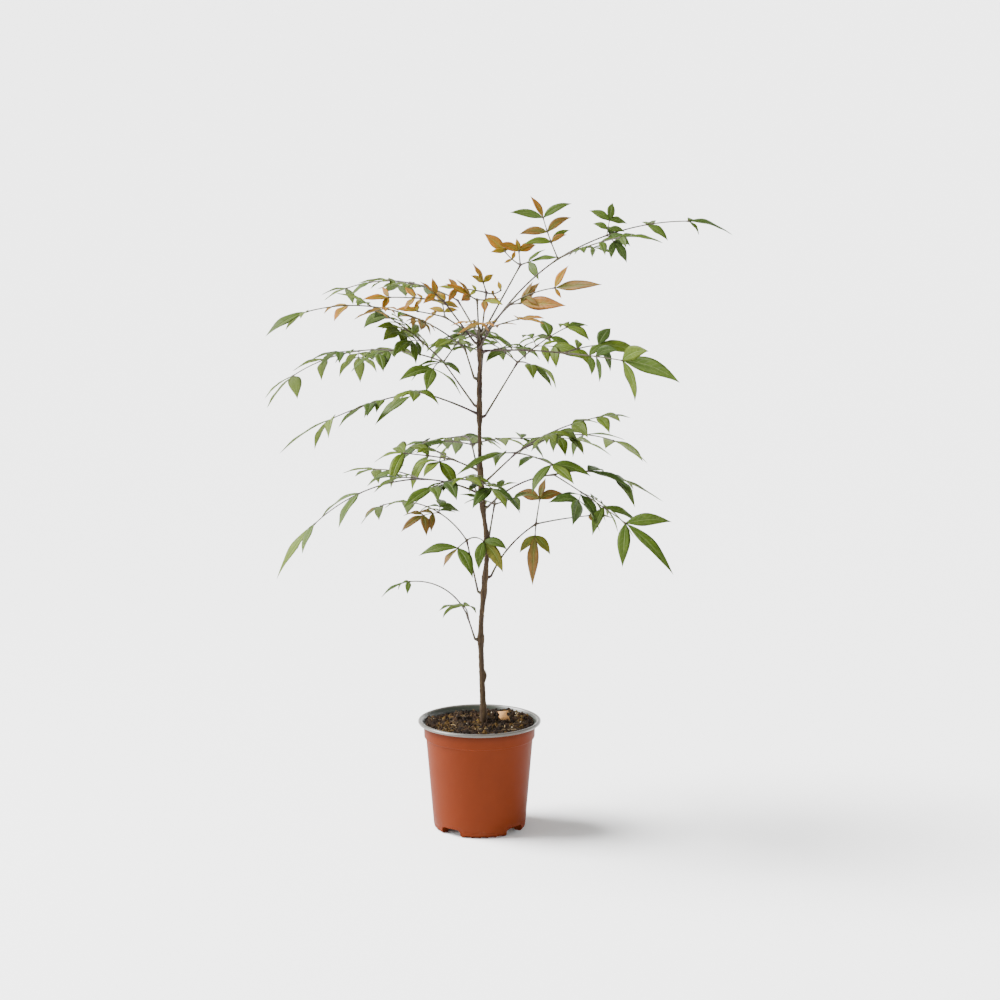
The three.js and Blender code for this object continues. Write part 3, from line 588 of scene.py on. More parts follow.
def leaf_finish(tint):
    """A leaflet's skin in one tint: pale ribs and veins above, and a dull pale underside."""
    colour, inner = LEAF_TINTS[tint]
    finish = Finish(f"leaf_{tint}")
    across, along, _ = finish.parts(finish.node("ShaderNodeTexCoord", "UV"))
    under = across > 1.5
    off_rib = abs(across.fraction() - 0.5) * 2
    rib = 1 - finish.fade(off_rib, 0.02, 0.13)
    row = abs((along * 9 - off_rib * 1.5).fraction() - 0.5) * 2
    veins = finish.fade(row, 0.82, 1.0) * finish.fade(off_rib, 0.02, 0.2)
    mottle = finish.noise(110, 4, 0.65)
    freckles = finish.fade(finish.noise(420, 3, 0.6), 0.62, 0.74)
    pale = blend_colours(shade(inner, 1.5), linear("a2ab72"), 0.25)
    shaded = finish.mix(finish.fade(mottle, 0.3, 0.7), shade(colour, 0.78), shade(colour, 1.22))
    outwards = finish.fade(off_rib * 0.6 + along * 0.7 + mottle * 0.5, 0.45, 1.0)
    blade = finish.mix(outwards, inner, shaded)
    spotted = finish.mix(freckles * 0.25, blade, blend_colours(colour, linear("bdb886"), 0.5))
    veined = finish.mix(rib * 0.34 + veins * 0.12, spotted, pale)
    both = finish.mix(under * 0.6, veined, blend_colours(colour, linear("75824e"), 0.3))
    return finish.surface(
        Base_Color=both,
        Roughness=0.48 + mottle * 0.12 + under * 0.2,
        Normal=finish.bump(0 - rib * 2 - veins + mottle * 0.6, 0.0003),
        Specular_IOR_Level=0.16,
    )


def stage_finish(colour):
    """Matte paper for the floor."""
    finish = Finish("stage_paper")
    grain = finish.noise(300, 2)
    return finish.surface(
        Base_Color=finish.mix(grain, shade(colour, 0.995), colour),
        Roughness=0.9,
        Specular_IOR_Level=0.1,
    )


# ---------------------------------------------------------------- modelling helpers


def deselect_all():
    if bpy.context.object and bpy.context.object.mode != "OBJECT":
        bpy.ops.object.mode_set(mode="OBJECT")
    bpy.ops.object.select_all(action="DESELECT")


def select_only(piece):
    deselect_all()
    piece.select_set(True)
    bpy.context.view_layer.objects.active = piece


def extrude_rings(name, sides, rings):
    """A closed tube: a disc, extruded from ring to ring. A ring is its centre and radius, in mm."""
    deselect_all()
    centre, radius = rings[0]
    bpy.ops.mesh.primitive_circle_add(
        vertices=sides, radius=radius * MM, fill_type="NGON", location=Vector(centre) * MM
    )
    piece = bpy.context.object
    piece.name = name
    bpy.ops.object.transform_apply(location=True, rotation=True, scale=True)
    bpy.ops.object.mode_set(mode="EDIT")
    for next_centre, next_radius in rings[1:]:
        move = (Vector(next_centre) - Vector(centre)) * MM
        bpy.ops.mesh.extrude_region_move(TRANSFORM_OT_translate={"value": move})
        scale = next_radius / radius
        bpy.ops.transform.resize(
            value=(scale, scale, 1), center_override=Vector(next_centre) * MM
        )
        centre, radius = next_centre, next_radius
    bpy.ops.mesh.select_all(action="SELECT")
    bpy.ops.mesh.normals_make_consistent(inside=False)
    bpy.ops.object.mode_set(mode="OBJECT")
    return piece


def apply_modifier(piece, kind, **settings):
    """Adds a modifier, sets it up and applies it."""
    select_only(piece)
    bpy.ops.object.modifier_add(type=kind)
    modifier = piece.modifiers[-1]
    for name, setting in settings.items():
        setattr(modifier, name, setting)
    bpy.ops.object.modifier_apply(modifier=modifier.name)


def displace(piece, scale, strength, depth, group=""):
    """Raises and lowers a surface by a cloud pattern."""
    clouds = bpy.data.textures.new(f"{piece.name}_relief", "CLOUDS")
    clouds.noise_scale = scale
    clouds.noise_depth = depth
    settings = dict(texture=clouds, strength=strength, mid_level=0.5, vertex_group=group)
    apply_modifier(piece, "DISPLACE", texture_coords="LOCAL", **settings)
    bpy.data.textures.remove(clouds)


def smooth_shading(piece, degrees):
    select_only(piece)
    bpy.ops.object.shade_smooth_by_angle(angle=math.radians(degrees))


def dress(piece, nodes, materials):
    """Gives a piece its materials, hides the parts that it stands for and hangs it under the root
    body.
    """
    for material in materials:
        piece.data.materials.append(material)
    if nodes:
        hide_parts(*nodes)
    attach(piece, "root")


class Pile:
    """Points and faces of many small things, which become one joined mesh."""

    def __init__(self):
        self.points = []
        self.faces = []
        self.finishes = []
        self.corners = []

    def add_face(self, face, finish, corners):
        self.faces.append(face)
        self.finishes.append(finish)
        self.corners.extend(corners)

    def add_loft(self, rings, finish=0, across=None, tipped=False):
        """A closed loft over rings of equally many points. A tipped one ends in a single point."""
        n = len(rings[0])
        across = across or [k / n for k in range(n + 1)]
        along = [r / (len(rings) - 1) for r in range(len(rings))]
        base = len(self.points)
        last = len(rings) - 1
        for ring in rings[:last] if tipped else rings:
            self.points.extend(ring)
        if tipped:
            self.points.append(rings[last][0])
        self.add_face([base + k for k in reversed(range(n))], finish, [(0, 0)] * n)
        for r in range(last):
            row = base + r * n
            for k in range(n):
                a = row + k
                b = row + (k + 1) % n
                corners = [(across[k], along[r]), (across[k + 1], along[r])]
                if tipped and r == last - 1:
                    middle = (across[k] + across[k + 1]) / 2
                    self.add_face([a, b, row + n], finish, corners + [(middle, 1)])
                else:
                    corners += [(across[k + 1], along[r + 1]), (across[k], along[r + 1])]
                    self.add_face([a, b, b + n, a + n], finish, corners)
        if not tipped:
            top = base + last * n
            self.add_face([top + k for k in range(n)], finish, [(0, 1)] * n)

    def add_lump(self, centre, spokes, finish=0):
        """A small crumb with eight faces, from the lengths of its six spokes and a turn."""
        sizes, turn = spokes
        c, s = math.cos(turn), math.sin(turn)
        axes = [(c, s, 0), (-s, c, 0), (-c, -s, 0), (s, -c, 0), (0, 0, 1), (0, 0, -1)]
        base = len(self.points)
        for axis, size in zip(axes, sizes):
            self.points.append(np.add(centre, np.multiply(axis, size)))
        for k in range(4):
            side = [base + k, base + (k + 1) % 4]
            self.add_face([*side, base + 4], finish, [(0, 0)] * 3)
            self.add_face([*reversed(side), base + 5], finish, [(0, 0)] * 3)

    def make(self, name, smooth=True):
        mesh = bpy.data.meshes.new(name)
        mesh.from_pydata((np.array(self.points) * MM).tolist(), [], self.faces)
        mesh.polygons.foreach_set("material_index", self.finishes)
        mesh.polygons.foreach_set("use_smooth", [smooth] * len(self.faces))
        layer = mesh.uv_layers.new(name="across_and_along")
        layer.data.foreach_set("uv", np.array(self.corners, dtype=float).ravel())
        mesh.update()
        piece = bpy.data.objects.new(name, mesh)
        bpy.context.scene.collection.objects.link(piece)
        return piece


# ---------------------------------------------------------------- the growing rule


def seeded_random(seed):
    """A repeatable stream of numbers from 0 to 1."""
    state = (seed * 69621) % 2147483647

    def draw():
        nonlocal state
        state = (state * 48271) % 2147483647
        return state / 2147483647

    return draw


def nearest(number):
    return math.floor(number + 0.5)


def lerp(low, high, share):
    return low + (high - low) * share


def clamp(share):
    return min(1, max(0, share))


def bell(offset, reach):
    """1 in the middle, and less with the distance from it."""
    return math.exp(-((offset / reach) ** 2))


def heading(bearing, pitch):
    """The direction of a bearing and a pitch."""
    b, p = math.radians(bearing), math.radians(pitch)
    return np.array([math.cos(p) * math.cos(b), math.cos(p) * math.sin(b), math.sin(p)])


def frame_at(bearing, pitch, roll=0):
    """Three square directions: along a heading, its left and up, the last two rolled about it."""
    along = heading(bearing, pitch)
    left = heading(bearing + 90, 0)
    up = np.cross(along, left)
    c, s = math.cos(math.radians(roll)), math.sin(math.radians(roll))
    return along, left * c + up * s, up * c - left * s


@dataclass
class Station:
    """A place on a limb, with the limb's heading there and the roll of what it bears."""

    at: np.ndarray
    bearing: float
    pitch: float
    roll: float = 0

    def rolled(self, roll):
        return Station(self.at, self.bearing, self.pitch, roll)


def drooping_path(start, bearing, pitch, droop, length, steps):
    """A path that keeps its bearing while its pitch falls evenly."""
    path = [Station(np.array(start, dtype=float), bearing, pitch)]
    for i in range(steps):
        way = heading(bearing, pitch - droop * (i + 0.5) / steps)
        at = path[i].at + way * (length / steps)
        path.append(Station(at, bearing, pitch - droop * (i + 1) / steps))
    return path


def limb_path(start, bearing, pitch, droop, length):
    return drooping_path(start, bearing, pitch, droop, length, max(2, nearest(length / STEP)))


def cane_centre(z):
    """The cane's centre at a height, on a smooth line through the lean points."""
    last = len(CANE_LEAN) - 1
    i = 0
    while i < last - 1 and z > CANE_LEAN[i + 1][0]:
        i += 1
    before, start, end, after = (CANE_LEAN[min(max(k, 0), last)] for k in range(i - 1, i + 3))
    span = end[0] - start[0]
    t = (z - start[0]) / span

    def lean(axis):
        def slope(a, b):
            return (b[axis] - a[axis]) / (b[0] - a[0]) * span

        return (
            (2 * t**3 - 3 * t**2 + 1) * start[axis]
            + (t**3 - 2 * t**2 + t) * slope(before, end)
            + (3 * t**2 - 2 * t**3) * end[axis]
            + (t**3 - t**2) * slope(start, after)
        )

    return np.array([lean(1), lean(2), z])


def cane_radius(z):
    """The cane tapers upwards, flares at the ground and swells where stalks leave it."""
    above = z - SOIL_LEVEL
    taper = lerp(CANE["base"], CANE["tip"], above / (CANE["top"] - SOIL_LEVEL))
    flare = CANE["flare"] * math.exp(-above / CANE["flare_height"])
    crowd = sum(bell(z - frond.z, CANE["node_reach"]) for frond in FRONDS)
    return taper + flare + CANE["swell"] * min(crowd, 1)


def stalk_path(frond):
    """A stalk springs from the cane with a short level knee, then rises to its fork."""
    out = heading(frond.bearing, 0)
    root = cane_centre(frond.z) + out * (cane_radius(frond.z) + GAP)
    knee = root + out * STALK_KNEE + np.array([0, 0, STALK_KNEE / 2])
    rising = limb_path(knee, frond.bearing, frond.rise + frond.arch / 2, frond.arch, frond.length)
    return [Station(root, frond.bearing, 0), *rising]


class Room:
    """The places taken so far: balls on limbs and leaflets, each with its owner's name."""

    def __init__(self):
        self.at = np.empty((0, 3))
        self.reach = np.empty(0)
        self.owner = np.empty(0, dtype=object)

    def claim(self, points, owner, reach):
        count = len(points)
        self.at = np.vstack([self.at, points])
        self.reach = np.append(self.reach, np.full(count, float(reach)))
        self.owner = np.append(self.owner, np.full(count, owner, dtype=object))

    def is_clear(self, points, owner, reach):
        points = np.array(points)
        widest = self.reach.max() + reach
        low, high = points.min(axis=0) - widest, points.max(axis=0) + widest
        near = ((self.at > low) & (self.at < high)).all(axis=1)
        room = np.where(self.owner[near] == owner, KIN_REACH, reach + self.reach[near])
        away = np.linalg.norm(points[:, None] - self.at[near][None], axis=2)
        return not (away < room).any()


@dataclass
class Leaf:
    """A leaflet's place, heading, size and bend."""

    root: np.ndarray
    bearing: float
    pitch: float
    length: float
    width: float
    sag: float
    roll: float
    tint: str

    def path(self):
        way = self.bearing, self.pitch, self.sag
        return drooping_path(self.root, *way, self.length, LEAF_STEPS)

    def claim_points(self):
        """Points across the leaflet, clear of its foot, which touches what it grows from."""
        points = []
        for i, station in enumerate(self.path()[3:], start=3):
            _, side, _ = frame_at(station.bearing, station.pitch, self.roll)
            outline = math.sin(math.pi * (i / LEAF_STEPS) ** 0.8) ** 0.9 if i < LEAF_STEPS else 0
            half = 0.5 * self.width * outline
            points.extend(station.at + side * (half * share) for share in (-0.85, -0.3, 0.3, 0.85))
        return points


def side_way(station, side, spread):
    """The heading of what leaves a station to one side, and the roll that keeps its plane."""
    along, left, up = frame_at(station.bearing, station.pitch, station.roll)
    turn = math.radians(spread)
    way = along * math.cos(turn) + left * (side * math.sin(turn))
    bearing = math.degrees(math.atan2(way[1], way[0]))
    pitch = math.degrees(math.asin(min(max(way[2], -1), 1)))
    _, level_left, level_up = frame_at(bearing, pitch)
    roll = math.degrees(math.atan2(-up @ level_left, up @ level_up))
    return Station(station.at, bearing, pitch, roll)


class Foliage:
    """All that grows from one stalk's fork: twigs, and leaflets with their tints."""

    def __init__(self, frond, room):
        self.frond = frond
        self.owner = f"foliage_{frond.name}"
        self.room = room
        self.random = seeded_random(frond.seed)
        self.tint_random = seeded_random(frond.seed + 100)
        self.tint = ""
        self.broad = 1
        self.twigs = []
        self.leaves = []
        self.finer_places = []

    def grow(self, fork):
        along = heading(fork.bearing, fork.pitch)
        self.hub = fork.at + along * (GAP + KNUCKLE_HEIGHT / 2)
        for arm in self.frond.arms:
            self.add_arm(arm)

    def tint_stream(self, arm):
        """The arm's own tints in order, the last one on and on, or drawn from the palette."""
        choice = PALETTES["young" if self.frond.young else self.frond.palette]
        own = arm.tints.split()
        for tint in own[:-1]:
            yield tint
        while True:
            yield own[-1] if own else choice[int(self.tint_random() * len(choice))]

    def grow_clear(self, way, reach, grow):
        """What grows from a heading, turned until its points are clear, or None."""
        for turn in TURNS:
            grown, points = grow(way.bearing + turn, way.pitch + abs(turn) / 4)
            if self.room.is_clear(points, self.owner, reach):
                self.room.claim(points, self.owner, reach)
                return grown
        return None

    def grow_path(self, way, droop, length, free):
        """A twig's path. Its first stations, beside what it grows from, are not held clear."""

        def grow(bearing, pitch):
            path = limb_path(way.at, bearing, pitch, droop, length)
            return path, [station.at for station in path[free:]]

        return self.grow_clear(way, LIMB_REACH, grow)

    def add_leaf(self, root, way, length, sag_share=1):
        def vary(spread):
            return (self.random() * 2 - 1) * spread

        size = length * (1 + vary(VARY["size"]))
        width = size * LEAF_WIDTH * self.broad * (1 + vary(VARY["width"]))
        sag = self.frond.sag * sag_share * (1 + vary(VARY["sag"]))
        roll = way.roll + vary(VARY["roll"])
        bearing = way.bearing + vary(VARY["bearing"])
        varied = Station(root, bearing, way.pitch + vary(VARY["pitch"]))

        def grow(bearing, pitch):
            leaf = Leaf(root, bearing, pitch, size, width, sag, roll, self.tint)
            return leaf, leaf.claim_points()

        leaf = self.grow_clear(varied, LEAF_REACH, grow)
        if leaf:
            self.leaves.append(leaf)

    def add_pair(self, station, length, spread, under=1):
        root = station.at - heading(station.bearing, station.pitch) * TWIG_SET_BACK
        self.add_leaf(root, side_way(station, 1, spread), length)
        self.add_leaf(root, side_way(station, -1, spread), length * under)

    def add_trefoil(self, station, side, length, spread):
        way = side_way(station, side, spread)
        stalk = length * (SPRAY["twig_share"] + SPRAY["twig_vary"] * self.random())
        path = self.grow_path(way, SPRAY["twig_droop"], stalk, 2)
        if not path:
            return
        tip = path[-1].rolled(way.roll)
        self.twigs.append(Twig(path, [], SIDE_TWIG_RADIUS, SIDE_TWIG_RADIUS))
        self.finer_places.append((path, way.roll, length, self.tint, self.broad))
        self.add_leaf(tip.at, tip, length, TIP_SAG)
        self.add_pair(tip, length * SPRAY["outer_share"], SPRAY["trefoil_spread"])

    def add_finer_leaves(self):
        """A smaller pair of leaflets inside the tips of the side twigs and the upper arms."""
        for path, roll, length, tint, broad in self.finer_places:
            self.tint, self.broad = tint, broad
            station = path[nearest((len(path) - 1) * SPRAY["finer_place"])].rolled(roll)
            self.add_pair(station, length * SPRAY["finer_share"], SPRAY["pair_spread"])

    def add_arm(self, arm):
        """Pairs of leaflets near an arm's tip, and pairs of trefoils further in."""
        start = Station(self.hub, self.frond.bearing + arm.turn, arm.lift)
        path = self.grow_path(start, arm.droop, arm.length, 3)
        if not path:
            return
        last = len(path) - 1
        share = SPRAY["joint_share"]
        joints = [nearest(last * (1 - k * share / arm.joints)) for k in range(arm.joints)]
        self.broad = arm.broad
        tints = self.tint_stream(arm)
        self.tint = next(tints)
        self.twigs.append(Twig(path, joints, ARM_RADIUS, ARM_TIP_RADIUS))
        tip = path[last].rolled(arm.roll)
        if self.frond.z > SPRAY["finer_from"] and last >= SPRAY["finer_steps"]:
            self.finer_places.append((path, arm.roll, arm.side, self.tint, arm.broad))
        self.add_leaf(tip.at, tip, arm.leaf, TIP_SAG)
        for k, joint in enumerate(joints):
            near_tip = k < arm.pairs
            jolt = (self.random() * 2 - 1) * VARY["roll"]
            station = path[joint].rolled((arm.roll if near_tip else arm.twist) + jolt)
            self.tint = next(tints)
            if near_tip:
                length = arm.tip if k == 0 and arm.tip else arm.side
                self.add_pair(station, length, SPRAY["pair_spread"], arm.under)
                continue
            length = arm.inner or arm.side
            self.add_trefoil(station, 1, length, SPRAY["trefoil_spread"])
            self.tint = next(tints)
            self.add_trefoil(station, -1, length * arm.under, SPRAY["trefoil_spread"])


def grow_plant():
    """The masses of foliage, each kept clear of those before it."""
    room = Room()
    for z in range(SOIL_LEVEL, CANE["top"], STEP):
        room.claim([cane_centre(z)], "stem", cane_radius(z))
    stalks = [(frond, stalk_path(frond)) for frond in FRONDS]
    for frond, path in stalks:
        room.claim([station.at for station in path], f"stalk_{frond.name}", LIMB_REACH)
    masses = []
    for frond, path in stalks:
        mass = Foliage(frond, room)
        mass.grow(path[-1])
        masses.append(mass)
    for mass in masses:
        mass.add_finer_leaves()
    return masses


# ---------------------------------------------------------------- limbs and blades

ARM_RADIUS = 0.9
ARM_TIP_RADIUS = 0.6
SIDE_TWIG_RADIUS = 0.5
TWIG_SIDES = 6
STALK_SIDES = 10
# How many rings a limb's mesh has for each of its steps.
FINER = 2


@dataclass
class Twig:
    """A twig's path, the numbers of the stations where others leave it, and its end radii."""

    path: list
    joints: list
    root_radius: float
    tip_radius: float


def ring_points(station, radius, sides):
    """A ring square to a limb at a station."""
    _, side, up = frame_at(station.bearing, station.pitch)
    angles = [2 * math.pi * (k + 0.5) / sides for k in range(sides)]
    return [station.at + radius * (side * math.cos(a) + up * math.sin(a)) for a in angles]


def joint_swell(i, joints):
    """Twigs thicken into a knuckle where others leave them."""
    return 1 + 0.55 * sum(bell(i - joint, 0.55) for joint in joints)


def between(path, parts):
    """A path with more stations, evenly between its own."""
    finer = []
    for a, b in zip(path, path[1:]):
        for k in range(parts):
            t = k / parts
            finer.append(Station(lerp(a.at, b.at, t), a.bearing, lerp(a.pitch, b.pitch, t)))
    return [*finer, path[-1]]


def add_twig_mesh(pile, twig):
    path = between(twig.path, FINER)
    last = len(path) - 1
    joints = [0, *twig.joints, len(twig.path) - 1]
    rings = []
    for i, station in enumerate(path):
        radius = lerp(twig.root_radius, twig.tip_radius, i / last)
        rings.append(ring_points(station, radius * joint_swell(i / FINER, joints), TWIG_SIDES))
    pile.add_loft(rings)


# Where a blade's edges lie across its UV map: 0 to 1 over the top, then 3 to 2 back under.
BLADE_ACROSS = (0, 0.25, 0.5, 0.75, 1, 2.75, 2.5, 2.25, 2)
# A blade's fold, crown, waves and thicknesses, and its outline. Longer ones than longest_broad are
# slimmer by the power of slimming.
BLADE = dict(
    fold=0.16,
    crown=0.07,
    wave=0.1,
    waves=1.6,
    thickness=0.3,
    rib=0.22,
    footstalk=0.38,
    inner=0.55,
    shoulder=0.8,
    point=1.2,
    fullness=1.04,
    longest_broad=37,
    slimming=0.75,
)
WAVE_SEED = 7


def blade_half_width(leaf, share):
    """A wedge-shaped foot, broad before the middle, and drawn out to a long point."""
    if share >= 1:
        return 0
    slender = min(1, (BLADE["longest_broad"] / leaf.length) ** BLADE["slimming"])
    outline = math.sin(math.pi * share ** BLADE["shoulder"]) ** BLADE["point"]
    half = 0.5 * leaf.width * slender * outline * BLADE["fullness"]
    return max(half, BLADE["footstalk"] * (1 - share))


def blade_section(half, left_wave, right_wave):
    """A blade's section from its left edge over the top and back under: offsets side and up."""
    thick = min(BLADE["thickness"], half)
    inner = BLADE["inner"]
    crown = half * (BLADE["fold"] * inner + BLADE["crown"])
    edge = half * BLADE["fold"]
    return (
        (half, edge + left_wave),
        (half * inner, crown + left_wave / 2),
        (0, 0),
        (-half * inner, crown + right_wave / 2),
        (-half, edge + right_wave),
        (-half * inner, crown + right_wave / 2 - thick),
        (0, -thick - BLADE["rib"]),
        (half * inner, crown + left_wave / 2 - thick),
    )


def add_blade_mesh(pile, leaf, finish, random):
    phases = random(), random()
    rings = []
    for i, station in enumerate(leaf.path()):
        share = i / LEAF_STEPS
        half = blade_half_width(leaf, share)
        _, side, up = frame_at(station.bearing, station.pitch, leaf.roll)
        swing = BLADE["wave"] * half * math.sin(math.pi * share)
        turns = [2 * math.pi * (BLADE["waves"] * share + phase) for phase in phases]
        section = blade_section(half, *(swing * math.sin(turn) for turn in turns))
        rings.append([station.at + side * x + up * y for x, y in section])
    pile.add_loft(rings, finish, BLADE_ACROSS, tipped=True)


# ---------------------------------------------------------------- properties


def length_property(name, description, metres):
    return FloatProperty(name=name, description=description, default=metres, unit="LENGTH")


def colour_property(name, description, colour):
    limits = dict(subtype="COLOR", size=4, min=0, max=1)
    return FloatVectorProperty(name=name, description=description, default=colour, **limits)


class PotProperties(bpy.types.PropertyGroup):
    """The nursery pot."""

    sides: IntProperty(name="Sides", description="Faces round the pot", default=128, min=24)
    lip_roll: length_property("Lip roll", "Radius of the rolled lip", 0.0022)
    wall: length_property("Wall", "Thickness of the plastic", 0.0012)
    wall_colour: colour_property("Wall colour", "Outside of the pot", linear("55210b"))
    # The inside's colour is the lip's grey plastic, darkened with painted shade.
    inside_shaded_colour: colour_property("Inside colour", "Inside of the pot", linear("2c2f28"))
    lip_colour: colour_property("Lip colour", "Rolled lip of the pot", linear("46433d"))


class SoilProperties(bpy.types.PropertyGroup):
    """The compost in the pot."""

    crumbs: IntProperty(name="Crumbs", description="Loose crumbs on top", default=2400, min=0)
    grit: IntProperty(name="Grit", description="White grains of perlite", default=16, min=0)
    fibres: IntProperty(name="Fibres", description="Rootlets and peat fibres", default=150, min=0)
    lump: length_property("Lumps", "Height of the large lumps", 0.0065)
    bank: length_property("Bank", "How far it is heaped against the wall", 0.0042)
    colour: colour_property("Colour", "Moist compost", linear("23180e"))


class CaneProperties(bpy.types.PropertyGroup):
    """The cane and the leaf stalks."""

    relief: length_property("Bark relief", "Height of the bark's ridges", 0.0007)
    lower_colour: colour_property("Lower bark", "Bark near the ground", linear("281b0d"))
    upper_colour: colour_property("Upper bark", "Bark near the top", linear("1a0c0a"))
    stalk_colour: colour_property(
        "Stalk flush", "Purple flush of stalks and twigs", linear("251414")
    )
    twig_colour: colour_property("Twig green", "Green of stalks and twigs", linear("322c16"))


class StageProperties(bpy.types.PropertyGroup):
    """The floor, the lights and the camera."""

    paper_colour: colour_property("Paper", "Floor", (0.92, 0.92, 0.92, 1))
    daylight: FloatProperty(name="Daylight", description="Even light all round", default=0.3)
    key_power: FloatProperty(
        name="Key light", description="Soft light from the left, in watts a square metre",
        default=16,
    )
    side_power: FloatProperty(
        name="Side light", description="Soft light on the pot's left", default=30, unit="POWER"
    )
    camera_distance: length_property("Camera distance", "From the plant's axis", 2.8)
    camera_height: length_property("Camera height", "Above the floor", 0.858)
    aim_height: length_property("Aim height", "Where the camera looks", 0.3525)
    aim_side: length_property("Aim side", "How far right of the pot it looks", 0.0217)
    lens: FloatProperty(name="Lens", description="Focal length", default=98.17, unit="CAMERA")


# ---------------------------------------------------------------- pot

# The pot's radius at its foot and collar, and the heights of the underside's recess, the collar's
# foot and the ledge inside.
POT = dict(foot=48.5, collar=59.2, recess=4.5, collar_foot=98.4, ledge=112.4)
# Wide notches in the foot, and small scallops between each two: their sizes, and where they sit.
NOTCHES = dict(count=4, bearing=51, size=(24, 25, 16), round_off=4)
SCALLOPS = dict(count=5, first=0.27, apart=0.115, size=(9, 8, 5), round_off=2)


def arc(centre, radii, start, end, steps):
    """Points on an arc of an ellipse, as radius and height."""
    (x, y), (across, up) = centre, radii
    angles = [math.radians(lerp(start, end, k / steps)) for k in range(steps + 1)]
    return [(x + across * math.cos(a), y + up * math.sin(a)) for a in angles]


def pot_outline(pot):
    """The pot's section in mm, from the underside up the outside and down the inside."""
    rim, height = pot_high.x / MM, pot_high.z / MM
    roll, wall = pot.lip_roll / MM, pot.wall / MM
    foot, collar, recess = POT["foot"], POT["collar"], POT["recess"]
    collar_foot, ledge = POT["collar_foot"], POT["ledge"]

    def wall_radius(z):
        return lerp(foot, collar - 2.5, z / collar_foot)

    lip_middle = (rim - roll, height - roll * 0.85)
    outside = [
        (13, 0),
        (14.6, recess),
        (38.8, recess),
        (40.4, 0),
        (45.4, 0),
        *arc((45.4, 3), (3.1, 3), -70, 0, 5),
        (wall_radius(5.2), 5.2),
        (wall_radius(5.8) - 0.22, 5.8),
        (wall_radius(6.4) - 0.22, 6.4),
        (wall_radius(7), 7),
        *[(wall_radius(z), z) for z in (20, 38, 56, 74, 88, 96)],
        *arc((wall_radius(97.4) + 0.9, 97.4), (0.9, 0.9), 180, 100, 3),
        *arc((collar - 1.7, 99.4), (1.1, 1.1), -80, 0, 4),
        (collar - 0.35, 106),
        (collar, height - 2 * roll - 0.4),
    ]
    lip = arc(lip_middle, (roll, roll * 0.85), -110, 160, 14)
    inside = [
        (collar - wall + 0.7, height - 2.8),
        (collar - wall + 0.3, ledge + 0.5),
        (collar - wall - 0.5, ledge + 0.1),
        (collar - wall - 0.8, ledge - 0.6),
        (collar - wall - 1.4, collar_foot),
        (wall_radius(90) - wall, 90),
        (foot - wall, 8),
        (foot - 4, recess + wall),
        (6, recess + wall),
    ]
    return [*outside, *lip, *inside]


def cut_drains(pot):
    """Cuts the notches and the scallops out of the foot."""
    cutters = []
    between_notches = 360 / NOTCHES["count"]
    for k in range(NOTCHES["count"]):
        turn = NOTCHES["bearing"] + between_notches * k
        cutters.append((turn, NOTCHES))
        for j in range(SCALLOPS["count"]):
            share = SCALLOPS["first"] + SCALLOPS["apart"] * j
            cutters.append((turn + between_notches * share, SCALLOPS))
    for turn, shape in cutters:
        deselect_all()
        bpy.ops.mesh.primitive_cube_add(size=1)
        cutter = bpy.context.object
        cutter.scale = Vector(shape["size"]) * MM
        bpy.ops.object.transform_apply(location=True, rotation=True, scale=True)
        apply_modifier(cutter, "BEVEL", width=shape["round_off"] * MM, segments=3)
        cutter.location = Vector(heading(turn, 0) * POT["foot"]) * MM
        cutter.rotation_euler = (0, 0, math.radians(turn))
        apply_modifier(pot, "BOOLEAN", operation="DIFFERENCE", object=cutter, solver="EXACT")
        bpy.data.objects.remove(cutter)


class BAMBOO_OT_make_pot(bpy.types.Operator):
    """Make the two-tone plastic nursery pot"""

    bl_idname = "bamboo.make_pot"
    bl_label = "Make pot"

    def execute(self, context):
        pot = context.scene.bamboo_pot
        rings = [((0, 0, z), radius) for radius, z in pot_outline(pot)]
        piece = extrude_rings("nursery_pot", pot.sides, rings)
        cut_drains(piece)
        finishes = [
            pot_wall_finish(pot.wall_colour),
            pot_skin_finish("grey_lip", pot.lip_colour, 0.6),
            # The inside takes the lip's finish with a darker grey: painted shade.
            pot_skin_finish("grey_inside", pot.inside_shaded_colour, 0.3),
        ]
        dress(piece, ["pot"], finishes)
        self.part_finishes(piece, 2 * pot.lip_roll)
        smooth_shading(piece, 40)
        return {"FINISHED"}

    def part_finishes(self, piece, lip):
        """The grey lip, and the grey inside above the floor's foot, apart from the outer wall. The
        inside's grey is darkened with painted shade.
        """
        lip_foot = pot_high.z - lip + 0.0003
        lip_inner = pot_high.x - lip - 0.0004
        floor = 0.008
        for face in piece.data.polygons:
            x, y, z = face.center
            if math.hypot(x, y) > lip_inner and z > lip_foot:
                face.material_index = 1
            elif face.normal.x * x + face.normal.y * y < 0 and z > floor:
                face.material_index = 2


# ---------------------------------------------------------------- compost

# The compost's reach, and the heights of its underside and of its edge at the wall.
SOIL = dict(reach=57.2, under=99, edge=109.6, rings=36)
# The compost is heaped between two radii, all round but for a hollow at a bearing.
BANK = dict(starts=30, width=24, hollow=113, hollow_from=0.55, hollow_fade=0.35)
# The scrap of dry leaf: where it lies, how far above the compost, its size and its turn.
SCRAP = dict(place=(25, 12), lift=2.5, size=15, turn=4)
LITTER_SEED = 41


def soil_rings():
    """Under the surface, out to the pot's wall, then in over the top by even steps."""
    reach, under, count = SOIL["reach"], SOIL["under"], SOIL["rings"]
    rings = [((0, 0, under), 20), ((0, 0, under), reach - 2), ((0, 0, under + 6), reach)]
    for k in range(count):
        share = k / count
        height = lerp(SOIL["edge"], SOIL_LEVEL - 0.6, min(1, share * 2.2))
        rings.append(((0, 0, height), lerp(reach, 0.8, share)))
    return rings


